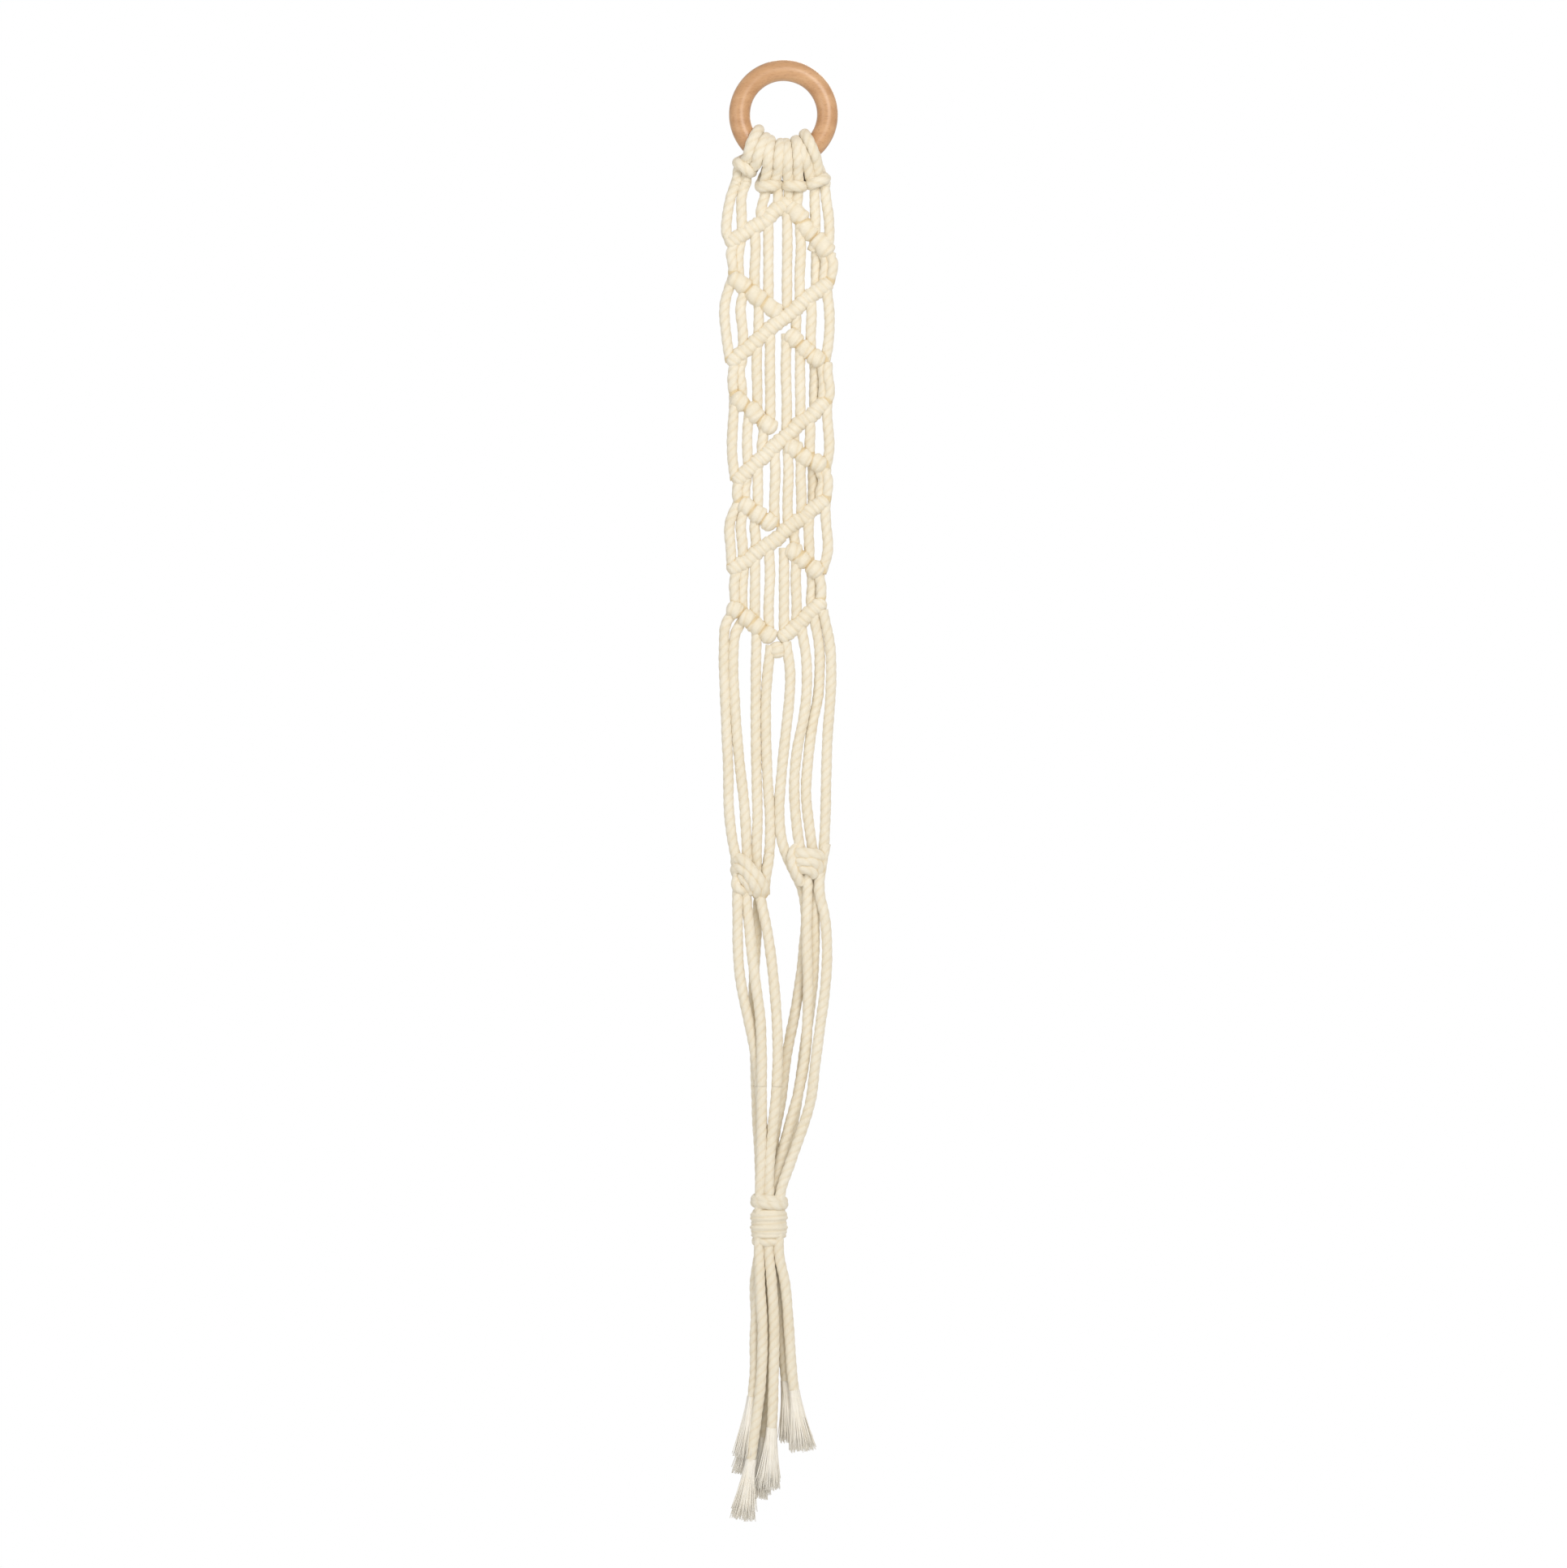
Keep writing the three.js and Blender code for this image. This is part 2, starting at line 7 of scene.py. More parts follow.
import bpy
import numpy as np
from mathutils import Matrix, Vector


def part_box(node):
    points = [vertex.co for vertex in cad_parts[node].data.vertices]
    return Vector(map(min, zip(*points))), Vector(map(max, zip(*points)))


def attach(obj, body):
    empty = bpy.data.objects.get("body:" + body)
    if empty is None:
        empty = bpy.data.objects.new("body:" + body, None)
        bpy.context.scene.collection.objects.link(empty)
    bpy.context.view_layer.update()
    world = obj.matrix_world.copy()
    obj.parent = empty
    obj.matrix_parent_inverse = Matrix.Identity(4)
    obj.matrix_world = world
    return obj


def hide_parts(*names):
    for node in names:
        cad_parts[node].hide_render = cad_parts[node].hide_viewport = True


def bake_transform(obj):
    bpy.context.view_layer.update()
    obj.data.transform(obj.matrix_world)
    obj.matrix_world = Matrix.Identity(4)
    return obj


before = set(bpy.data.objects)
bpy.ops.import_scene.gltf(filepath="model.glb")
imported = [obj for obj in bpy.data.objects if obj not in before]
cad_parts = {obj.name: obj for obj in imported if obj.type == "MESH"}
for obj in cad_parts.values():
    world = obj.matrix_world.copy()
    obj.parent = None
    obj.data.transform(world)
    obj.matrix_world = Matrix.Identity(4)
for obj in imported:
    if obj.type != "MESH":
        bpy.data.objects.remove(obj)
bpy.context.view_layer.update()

# ---- Camera, light and floor ----
# The planter hangs straight in front of a long lens, a little wider than it is tall all round, in
# soft light from every side with a stronger window from the upper left. The floor is far below.
view_width = 0.9365
camera_distance = 4.2
camera_height = -0.4199
sensor = 0.036
camera_data = bpy.data.cameras.new("camera")
camera_data.sensor_width = sensor * 1000
camera_data.lens = sensor * 1000 * camera_distance / view_width


def put(name, data):
    """A new object that shows this data, linked into the scene."""
    made = bpy.data.objects.new(name, data)
    bpy.context.collection.objects.link(made)
    return made


camera = put("camera", camera_data)
camera.location = (0, -camera_distance, camera_height)
camera.rotation_euler = (math.pi / 2, 0, 0)
bpy.context.scene.camera = camera
bpy.context.scene.view_settings.view_transform = "Standard"

world = bpy.data.worlds.new("studio")
bpy.context.scene.world = world
world.use_nodes = True
sky = world.node_tree
background = sky.nodes["Background"]
background.inputs["Color"].default_value = (1, 0.99, 0.97, 1)
background.inputs["Strength"].default_value = 0.605
backdrop = sky.nodes.new("ShaderNodeBackground")
backdrop.inputs["Color"].default_value = (1, 1, 1, 1)
seen_or_lighting = sky.nodes.new("ShaderNodeMixShader")
seen = sky.nodes.new("ShaderNodeLightPath")
sky.links.new(seen.outputs["Is Camera Ray"], seen_or_lighting.inputs["Fac"])
sky.links.new(background.outputs["Background"], seen_or_lighting.inputs[1])
sky.links.new(backdrop.outputs["Background"], seen_or_lighting.inputs[2])
sky.links.new(seen_or_lighting.outputs["Shader"], sky.nodes["World Output"].inputs["Surface"])


def soft_box(name, place, size, watts, colour):
    """A square area light at place, turned so that its -Z faces the middle of the planter."""
    data = bpy.data.lights.new(name, "AREA")
    data.size = size
    data.energy = watts
    data.color = colour
    lamp = put(name, data)
    lamp.location = place
    towards = np.array([0, 0, camera_height]) - np.array(place)
    level = math.hypot(towards[0], towards[1])
    lamp.rotation_euler = (math.atan2(level, -towards[2]), 0, math.atan2(-towards[0], towards[1]))


soft_box("key", (0.55, -1.5, 0.42), 0.9, 15, (1, 0.985, 0.96))
soft_box("fill", (-1.5, -1.5, -0.1), 1.4, 7, (0.97, 0.98, 1))
soft_box("rim", (0.4, 2.2, 0.8), 1.2, 14, (1, 0.98, 0.95))


def new_material(name):
    """A material with its Principled shader, and the shader's node tree."""
    made = bpy.data.materials.new(name)
    made.use_nodes = True
    return made, made.node_tree, made.node_tree.nodes["Principled BSDF"]


floor_half, floor_height = 2.0, -1.35
floor_mesh = bpy.data.meshes.new("floor")
floor_mesh.from_pydata(
    [(-floor_half, -floor_half, floor_height), (floor_half, -floor_half, floor_height),
     (floor_half, floor_half, floor_height), (-floor_half, floor_half, floor_height)],
    [], [(0, 1, 2, 3)])
floor = put("floor", floor_mesh)
floor_paint, tree, shader = new_material("pale_floor")
shader.inputs["Base Color"].default_value = (0.95, 0.95, 0.94, 1)
shader.inputs["Roughness"].default_value = 0.9
floor_mesh.materials.append(floor_paint)

# ---- Wooden ring ----
# A 65 mm ring turned from one board of beech, 12.5 mm thick, sanded and given a clear satin coat.
# The grain runs straight across the ring, so it shows long along the sides and as flecks on top.
ring_low, ring_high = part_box("wooden_ring")
ring_outer = (ring_high[0] - ring_low[0]) / 2
rod = (ring_high[1] - ring_low[1]) / 2
ring_radius = ring_outer - rod
ring_centre = np.array([0, 0, (ring_high[2] + ring_low[2]) / 2])


def grid_quads(count, around, closed_along=False):
    """The quads between count rings of around points each, numbered ring after ring, so that point
    (i, j) is number i * around + j. A ring is closed, and the last ring joins the first if asked."""
    i = np.arange(count if closed_along else count - 1)[:, None]
    j = np.arange(around)[None, :]
    ahead, beside = (i + 1) % count, (j + 1) % around
    return np.stack([i * around + j, i * around + beside, ahead * around + beside,
                     ahead * around + j], axis=-1).reshape(-1, 4)


def ring_surface(along, around):
    """A torus: a circle of the rod's radius carried round a circle of the ring's radius. Hand
    sanding left the rod uneven: it swells by 0.006 of itself in three waves round the ring, and by
    0.004 in seven waves that change sign a quarter of the way round the rod."""
    u = np.linspace(0, 2 * np.pi, along, endpoint=False)[:, None]
    v = np.linspace(0, 2 * np.pi, around, endpoint=False)[None, :]
    thickness = rod * (1 + 0.006 * np.sin(3 * u + 1) + 0.004 * np.sin(7 * u) * np.cos(2 * v))
    out = ring_radius + thickness * np.cos(v)
    return np.stack([out * np.sin(u), thickness * np.sin(v), out * np.cos(u)], -1) + ring_centre


steps_round_ring, steps_round_rod = 220, 56
ring_mesh = bpy.data.meshes.new("ring_turned_beech")
ring_mesh.from_pydata(ring_surface(steps_round_ring, steps_round_rod).reshape(-1, 3).tolist(), [],
                      grid_quads(steps_round_ring, steps_round_rod, True).tolist())
ring_mesh.shade_smooth()
ring = put("ring_turned_beech", ring_mesh)
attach(ring, "ring")
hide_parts("wooden_ring")


def new_group(name, inputs, outputs):
    """An empty shader node group with these (name, socket type, default) inputs and outputs."""
    tree = bpy.data.node_groups.new(name, "ShaderNodeTree")
    for title, kind, value in inputs:
        socket = tree.interface.new_socket(title, in_out="INPUT", socket_type=kind)
        socket.default_value = value
    for title, kind in outputs:
        tree.interface.new_socket(title, in_out="OUTPUT", socket_type=kind)
    return tree, tree.nodes.new("NodeGroupInput"), tree.nodes.new("NodeGroupOutput")


def noise_on(tree, vector, stretch, scale, detail, roughness=0.5):
    """A noise texture whose coordinates are stretched by a Mapping node."""
    mapping = tree.nodes.new("ShaderNodeMapping")
    mapping.inputs["Scale"].default_value = stretch
    tree.links.new(vector, mapping.inputs["Vector"])
    texture = tree.nodes.new("ShaderNodeTexNoise")
    texture.inputs["Scale"].default_value = scale
    texture.inputs["Detail"].default_value = detail
    texture.inputs["Roughness"].default_value = roughness
    tree.links.new(mapping.outputs["Vector"], texture.inputs["Vector"])
    return texture.outputs["Fac"]


def ramp_on(tree, value, stops):
    """A colour ramp through (position, colour) stops."""
    ramp = tree.nodes.new("ShaderNodeValToRGB")
    tree.links.new(value, ramp.inputs["Fac"])
    ramp.color_ramp.elements[0].position, ramp.color_ramp.elements[0].color = stops[0]
    ramp.color_ramp.elements[1].position, ramp.color_ramp.elements[1].color = stops[-1]
    for position, colour in stops[1:-1]:
        ramp.color_ramp.elements.new(position).color = colour
    return ramp.outputs["Color"]


def mix_on(tree, blend_type, factor, first, second):
    """A colour mix of two links or colours; factor is a link or a number."""
    mix = tree.nodes.new("ShaderNodeMix")
    mix.data_type = "RGBA"
    mix.blend_type = blend_type
    for socket, value in ((mix.inputs[0], factor), (mix.inputs[6], first), (mix.inputs[7], second)):
        if isinstance(value, (int, float, tuple)):
            socket.default_value = value
        else:
            tree.links.new(value, socket)
    return mix.outputs[2]


def math_on(tree, operation, *values):
    """A math node of links or numbers."""
    node = tree.nodes.new("ShaderNodeMath")
    node.operation = operation
    for socket, value in zip(node.inputs, values):
        if isinstance(value, (int, float)):
            socket.default_value = value
        else:
            tree.links.new(value, socket)
    return node.outputs[0]


def wood_grain():
    """Growth lines, fine fibre and the short dark flecks of beech, all drawn out along X. Each
    noise is stretched to so many waves per metre along and across the grain."""
    tree, given, out = new_group(
        "wood_grain", [("Vector", "NodeSocketVector", (0, 0, 0))],
        [("Color", "NodeSocketColor"), ("Height", "NodeSocketFloat"), ("Fibre", "NodeSocketFloat")])
    vector = given.outputs["Vector"]
    lines = noise_on(tree, vector, (9, 150, 150), 1.0, 3)
    fibre = noise_on(tree, vector, (120, 2600, 2600), 1.0, 4, 0.6)
    flecks = noise_on(tree, vector, (260, 1500, 1500), 1.0, 1)
    tone = ramp_on(tree, lines, [
        (0.28, (0.52, 0.275, 0.125, 1)), (0.5, (0.61, 0.345, 0.170, 1)), (0.74, (0.69, 0.42, 0.22, 1))])
    fibred = mix_on(tree, "MULTIPLY", 0.35, tone, ramp_on(tree, fibre, [
        (0.3, (0.72, 0.66, 0.60, 1)), (0.62, (1, 1, 1, 1))]))
    flecked = mix_on(tree, "MULTIPLY", 0.3, fibred, ramp_on(tree, flecks, [
        (0.33, (0.55, 0.42, 0.32, 1)), (0.41, (1, 1, 1, 1))]))
    tree.links.new(flecked, out.inputs["Color"])
    tree.links.new(math_on(tree, "ADD", fibre, math_on(tree, "MULTIPLY", lines, 0.5)),
                   out.inputs["Height"])
    tree.links.new(fibre, out.inputs["Fibre"])
    return tree


def bump_on(tree, shader, height, distance, strength):
    """Height to the shader's Normal through a Bump node."""
    bump = tree.nodes.new("ShaderNodeBump")
    bump.inputs["Distance"].default_value = distance
    bump.inputs["Strength"].default_value = strength
    tree.links.new(height, bump.inputs["Height"])
    tree.links.new(bump.outputs["Normal"], shader.inputs["Normal"])


beech, tree, shader = new_material("satin_beech")
where = tree.nodes.new("ShaderNodeTexCoord")
grain = tree.nodes.new("ShaderNodeGroup")
grain.node_tree = wood_grain()
tree.links.new(where.outputs["Object"], grain.inputs["Vector"])
tree.links.new(grain.outputs["Color"], shader.inputs["Base Color"])
rough = tree.nodes.new("ShaderNodeMapRange")
rough.inputs["To Min"].default_value = 0.30
rough.inputs["To Max"].default_value = 0.46
tree.links.new(grain.outputs["Fibre"], rough.inputs["Value"])
tree.links.new(rough.outputs["Result"], shader.inputs["Roughness"])
bump_on(tree, shader, grain.outputs["Height"], 0.00012, 0.35)
shader.inputs["Coat Weight"].default_value = 0.35
shader.inputs["Coat Roughness"].default_value = 0.28
ring.data.materials.append(beech)

# ---- Lark's heads ----
# Four cords of 6 mm three-strand cotton rope are folded in half and looped over the ring. Seen from
# the front the two halves come down over the ring side by side and pass behind their own loop.
rope = 0.0032  # the rope's radius
pressed = 0.0030  # the same where it is pulled against the ring
full = 0.0034  # the same where it swells in a head
lay = 0.0165  # one turn of a strand round the rope
chance = np.random.default_rng(6)


def smooth_line(points, step=0.0009):
    """Points every step along a smooth curve through these. Each span is a cubic between two
    points, and its slope at a point is the weighted mean of the chords on either side of it."""
    p = np.asarray(points, float)
    u = np.concatenate([[0], np.cumsum(np.linalg.norm(np.diff(p, axis=0), axis=1))])
    slope = np.gradient(p, u, axis=0)
    fine = np.linspace(0, u[-1], max(8, int(u[-1] / step * 4)))
    k = np.clip(np.searchsorted(u, fine, side="right") - 1, 0, len(u) - 2)
    span = (u[k + 1] - u[k])[:, None]
    t = ((fine - u[k])[:, None]) / span
    line = ((2 * t**3 - 3 * t**2 + 1) * p[k] + (t**3 - 2 * t**2 + t) * span * slope[k]
            + (3 * t**2 - 2 * t**3) * p[k + 1] + (t**3 - t**2) * span * slope[k + 1])
    along = np.concatenate([[0], np.cumsum(np.linalg.norm(np.diff(line, axis=0), axis=1))])
    even = np.linspace(0, along[-1], max(3, int(round(along[-1] / step)) + 1))
    return np.stack([np.interp(even, along, line[:, c]) for c in range(3)], axis=1)


def line_length(line):
    """The summed length of a line's steps."""
    return float(np.linalg.norm(np.diff(line, axis=0), axis=1).sum())


def rope_surface(line, radius, phase, strands=3, twist=lay, depth=0.17, around=26):
    """A soft rope along a line. Its section is the outline of fat equal circles set round a centre
    and sunk into one another, and it turns once in each twist. It swells and thins by a few parts
    in a hundred, in waves of one and a half turns and of five eighths of a turn. With one strand
    and a short twist it is a cord wound round and round the line, twice as uneven and closed at
    both ends by a rounded shoulder. Each section is carried on from the one before it, so that the
    rope has no twist but its own. Returns the rings of points, the distance along, and how deep
    each point lies in its groove."""
    any_way = (0.31, 0.87, 0.38)  # a direction that no cord starts along
    slope = np.gradient(line, axis=0)
    slope /= np.linalg.norm(slope, axis=1)[:, None]
    side = np.empty_like(line)
    start = np.cross(slope[0], any_way)
    side[0] = start / np.linalg.norm(start)
    for k in range(1, len(line)):
        carried = side[k - 1] - slope[k] * (side[k - 1] @ slope[k])
        side[k] = carried / np.linalg.norm(carried)
    other = np.cross(slope, side)
    along = np.concatenate([[0], np.cumsum(np.linalg.norm(np.diff(line, axis=0), axis=1))])
    angle = np.linspace(0, 2 * np.pi, around, endpoint=False)[None, :]
    share = 2 * np.pi / strands
    turn = 2 * np.pi * along / twist + phase
    turned = angle - turn[:, None]
    lobe = ((turned + share / 2) % share - share / 2) * strands / 3
    reach = depth * np.cos(lobe) + np.sqrt((1 - depth)**2 - (depth * np.sin(lobe)) ** 2)
    # how deep a point lies between two strands, kept as the mask of painted shade in the groove
    painted_shade = (1 - reach) / (1 - reach.min())
    uneven = 1 + 0.018 * np.sin(0.68 * turn) + 0.012 * np.sin(1.6 * turn)
    if strands == 1:
        longest_shoulder, blunt_tip = 0.0042, 0.04
        shoulder = min(radius * 0.8, longest_shoulder)
        to_end = np.minimum(along, along[-1] - along) + shoulder * blunt_tip
        uneven = (2 * uneven - 1) * np.sqrt(1 - np.clip(1 - to_end / shoulder, 0, 1) ** 2)
    size = radius * uneven[:, None] * reach
    out = side[:, None] * np.cos(angle)[..., None] + other[:, None] * np.sin(angle)[..., None]
    return line[:, None] + out * size[..., None], along, painted_shade


# Painted shade on rope: each piece carries a mask of how far its colour is darkened and warmed in the
# grooves between strands, in the creases where its lengths touch and on its end caps.
crease_width = 0.0008  # how far the shade of a crease reaches from the length that makes it
strand_shade = 0.7  # how deep the groove between two strands is shaded, against a crease's 1
end_shade = 0.5
thickest_rope = 0.008  # a length thicker than this is a band of many turns, and makes no crease


def rope_piece(name, lengths, body, nodes, material):
    """One mesh from several lengths of rope, each the arguments of rope_surface: a tube of quads closed
    by a fan of triangles at each end. Its UV is in metres, first along the fibres and then across them.
    The point attribute of painted shade falls from 1 where another length of the piece touches to 0 a
    crease_width away, and is at least strand_shade times the depth between two strands."""
    points, quads, caps, uv, cap_uv, depth, first = [], [], [], [], [], [], 0
    made_lengths = [rope_surface(*length) for length in lengths]
    thickness = [np.linalg.norm(made[0] - length[0][:, None], axis=-1).mean(1)
                 for made, length in zip(made_lengths, lengths)]
    for own, length in enumerate(lengths):
        line, radius = length[:2]
        rings, along, painted_shade = made_lengths[own]
        # painted shade in the grooves between strands, scaled by strand_shade
        painted_shade = painted_shade * strand_shade
        count, around = rings.shape[:2]
        quads.append(first + grid_quads(count, around))
        i, j = np.arange(count - 1)[:, None], np.arange(around)[None, :]
        to_next = 2 * np.pi * radius / around
        corners = [np.broadcast_arrays(along[a], to_next * b)
                   for a, b in ((i, j), (i, j + 1), (i + 1, j + 1), (i + 1, j))]
        wound = len(length) > 3 and length[3] == 1
        uv.append(np.stack([np.stack(c[::-1] if wound else c, -1) for c in corners],
                           2).reshape(-1, 2))
        ends = np.stack([line[0], line[-1]])
        hub, rim = first + count * around, np.arange(around)
        last = (count - 1) * around
        caps.append(np.stack([np.full(around, hub), first + (rim + 1) % around, first + rim], 1))
        caps.append(np.stack([np.full(around, hub + 1), first + last + rim,
                              first + last + (rim + 1) % around], 1))
        cap_uv.append(np.zeros((around * 6, 2)))
        # painted shade in the creases where another length of this piece touches
        for place, other in enumerate(lengths):
            if place != own and other[1] < thickest_rope:
                apart = (np.linalg.norm(rings[:, :, None] - other[0][::3], axis=-1)
                         - thickness[place][::3]).min(-1)
                painted_shade = np.maximum(painted_shade, np.clip(1 - apart / crease_width, 0, 1))
        points.append(np.concatenate([rings.reshape(-1, 3), ends]))
        depth.append(np.concatenate([painted_shade.reshape(-1), [end_shade, end_shade]]))
        first += count * around + 2
    mesh = bpy.data.meshes.new(name)
    faces = np.concatenate(quads).tolist() + np.concatenate(caps).tolist()
    mesh.from_pydata(np.concatenate(points).tolist(), [], faces)
    walls = sum(len(part) for part in quads)
    mesh.polygons.foreach_set("use_smooth", np.arange(len(faces)) < walls)
    layer = mesh.uv_layers.new(name="along_rope")
    layer.data.foreach_set("uv", np.concatenate(uv + cap_uv).astype(np.float32).ravel())
    # the mask of painted shade, read by the cotton material
    attribute = mesh.attributes.new("painted_shade", "FLOAT", "POINT")
    attribute.data.foreach_set("value", np.concatenate(depth).astype(np.float32))
    mesh.materials.append(material)
    made = put(name, mesh)
    if isinstance(body, str):
        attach(made, body)
    else:
        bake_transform(made)
    if nodes:
        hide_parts(*nodes)
    return made


def cotton_fibre():
    """Spun cotton: fine fibres that run along the rope, slubs, and painted shade, warmer and darker, in
    the grooves between strands and in the creases where lengths touch. Tint is the whole tone and Shade
    what it is multiplied by in that painted shade."""
    tree, given, out = new_group(
        "cotton_fibre",
        [("Tint", "NodeSocketColor", (0.90, 0.84, 0.72, 1)), ("Shade", "NodeSocketColor", (1, 1, 1, 1))],
        [("Color", "NodeSocketColor"), ("Height", "NodeSocketFloat"), ("Roughness", "NodeSocketFloat")])
    flat = tree.nodes.new("ShaderNodeUVMap")
    flat.uv_map = "along_rope"
    where = tree.nodes.new("ShaderNodeTexCoord")
    painted_shade = tree.nodes.new("ShaderNodeAttribute")
    painted_shade.attribute_name = "painted_shade"
    fibres = noise_on(tree, flat.outputs["UV"], (420, 4200, 1), 1.0, 3, 0.6)
    yarns = noise_on(tree, flat.outputs["UV"], (130, 1500, 1), 1.0, 2)
    slubs = noise_on(tree, where.outputs["Object"], (1, 1, 1), 240, 2)
    patches = noise_on(tree, where.outputs["Object"], (1, 1, 1), 38, 2)
    base = mix_on(tree, "MULTIPLY", 1.0, given.outputs["Tint"], ramp_on(tree, patches, [
        (0.3, (0.96, 0.94, 0.90, 1)), (0.7, (1, 1, 1, 1))]))
    fibred = mix_on(tree, "MULTIPLY", 0.45, base, ramp_on(tree, fibres, [
        (0.3, (0.90, 0.86, 0.80, 1)), (0.65, (1, 1, 1, 1))]))
    slubbed = mix_on(tree, "MULTIPLY", 0.35, fibred, ramp_on(tree, slubs, [
        (0.3, (0.90, 0.87, 0.81, 1)), (0.6, (1, 1, 1, 1))]))
    # painted shade: the colour is multiplied towards Shade by the square of the painted shade mask
    colour_with_painted_shade = mix_on(tree, "MULTIPLY", math_on(tree, "POWER", painted_shade.outputs["Fac"], 2.0), slubbed,
                     given.outputs["Shade"])
    tree.links.new(colour_with_painted_shade, out.inputs["Color"])
    height = math_on(tree, "ADD", math_on(tree, "MULTIPLY", fibres, 0.6),
                     math_on(tree, "ADD", math_on(tree, "MULTIPLY", yarns, 0.9),
                             math_on(tree, "MULTIPLY", slubs, 0.4)))
    tree.links.new(height, out.inputs["Height"])
    tree.links.new(math_on(tree, "MULTIPLY_ADD", fibres, 0.12, 0.86), out.inputs["Roughness"])
    return tree


fibre_group = cotton_fibre()


def cotton_material(name, tint, shade):
    """Natural cotton with its own tone, and the colour of its painted shade in grooves and creases."""
    made, tree, shader = new_material(name)
    fibre = tree.nodes.new("ShaderNodeGroup")
    fibre.node_tree = fibre_group
    fibre.inputs["Tint"].default_value = tint
    fibre.inputs["Shade"].default_value = shade
    tree.links.new(fibre.outputs["Color"], shader.inputs["Base Color"])
    tree.links.new(fibre.outputs["Roughness"], shader.inputs["Roughness"])
    bump_on(tree, shader, fibre.outputs["Height"], 0.00035, 0.8)
    shader.inputs["Sheen Weight"].default_value = 0.25
    shader.inputs["Sheen Roughness"].default_value = 0.5
    shader.inputs["Specular IOR Level"].default_value = 0.2
    return made


# the second colour is the warm ochre of the painted shade in grooves and creases
cotton = cotton_material("natural_cotton", (0.875, 0.815, 0.685, 1), (0.90, 0.80, 0.62, 1))

# where the outer two cords on each side and the inner four run, from under the heads
shoulders = [
    [(-0.0279, 0, -0.06), (-0.031, 0, -0.068), (-0.0335, 0, -0.08), (-0.0337, 0, -0.092)],
    [(-0.0224, 0, -0.06), (-0.0248, 0, -0.068), (-0.025, 0, -0.08), (-0.0245, 0, -0.088)],
    [(0.0186, 0, -0.06), (0.0186, 0, -0.07), (0.019, 0, -0.084), (0.0186, 0, -0.096)],
    [(0.0244, 0, -0.06), (0.0254, 0, -0.07), (0.0272, 0, -0.084), (0.0266, 0, -0.098)],
]
necks = [
    [(-0.009, 0, -0.06), (-0.011, 0, -0.068), (-0.0135, 0, -0.079)],
    [(-0.0032, 0, -0.06), (-0.0032, 0, -0.072)],
    [(0.0032, 0, -0.06), (0.0032, 0, -0.07)],
    [(0.0094, 0, -0.06), (0.0086, 0, -0.068), (0.0076, 0, -0.079)],
]
heads = [
    # angle from the ring's bottom where it crosses the hole's wall, the same at the outer wall,
    # middle of the loop across its front, how that loop slants
    (-47, -32, (-0.0236, -0.0522), -36),
    (-16, -10, (-0.0091, -0.0632), 5),
    (15.5, 8.5, (0.0066, -0.0632), -3),
    (36, 29.5, (0.0206, -0.0606), 22),
]
head_ends = [
    (shoulders[0][:2], shoulders[1][:2]), (necks[0][:2], necks[1][:2]),
    (necks[2][:2], necks[3][:2]), (shoulders[2][:2], shoulders[3][:2]),
]


def larks_head_line(inner, outer, loop, slant, ends):
    """The whole cord of one head, from its left end to its right. On each side it rises behind the
    loop and goes once round the rod: at section angle a it is rod + pressed from the rod's middle,
    and its place along the ring drifts from the outer angle to the inner and back with
    (1 - cos a) / 2. Then it comes forward beside its own end to make the loop across the front."""
    level = np.array([math.cos(math.radians(slant)), 0, math.sin(math.radians(slant))])
    down = np.array([level[2], 0, -level[0]])
    forward = np.array([0, -1, 0])
    middle = np.array([loop[0], 0, loop[1]])
    coil = rod + pressed

    def at(sideways, lower, nearer):
        """A place this far from the middle of the loop, along its slant, down and to the front."""
        return middle + level * sideways + down * lower + forward * nearer

    def half(hand, end):
        """One half of the cord, from its end to the loop: hand is -1 on the left, 1 on the right."""
        first, second = np.array(end)
        line = [first + (second - first) * 0.35, first + np.array([0, 0.0008, 0]),
                at(hand * 0.0027, 0.0010, -0.0010)]
        for section in np.radians(np.arange(42, 322, 20)):
            turn = math.radians(outer + (inner - outer) * (1 - math.cos(section)) / 2)
            outward = np.array([math.sin(turn), 0, -math.cos(turn)])
            along = np.array([math.cos(turn), 0, math.sin(turn)])
            line.append(ring_centre + outward * (ring_radius + coil * math.cos(section))
                        + forward * coil * math.sin(section) + along * hand * rope)
        line += [at(hand * 0.0040, -0.0030, -0.0046), at(hand * 0.0049, -0.0004, 0.0008),
                 at(hand * 0.0033, 0, 0.0046)]
        return line

    front = at(0, 0, 0.0056)
    return smooth_line([*half(-1, ends[0]), front, *half(1, ends[1])[::-1]])


for number, (head, ends) in enumerate(zip(heads, head_ends), 1):
    rope_piece(f"larks_head_rope_{number}", [(larks_head_line(*head, ends), full, number)],
               "heads", [f"larks_head_{number}"], cotton)

# ---- Cords below the heads ----
# The eight ends leave the heads side by side. The outer two on each side bow out to the first diamond's
# corners, and the inner four drop straight into its first rows.
fold_start, fold_end = (0, 0, -0.0595), (0, 0, -0.0685)
behind = 0.002  # how far back a cord's end is tucked inside the row below
for kind, routes, drawn_in, deeper, phase_step in (
        ("shoulder", shoulders, 0.93, 0.005, 1.3), ("neck", necks, 0.98, 0.004, 2.1)):
    for number, points in enumerate(routes, 1):
        tucked = (points[-1][0] * drawn_in, behind, points[-1][2] - deeper)
        rope_piece(f"{kind}_rope_{number}",
                   [(smooth_line([*points, tucked]), rope, number * phase_step)],
                   ("heads", "panel", fold_start, fold_end), [f"{kind}_cord_{number}"], cotton)

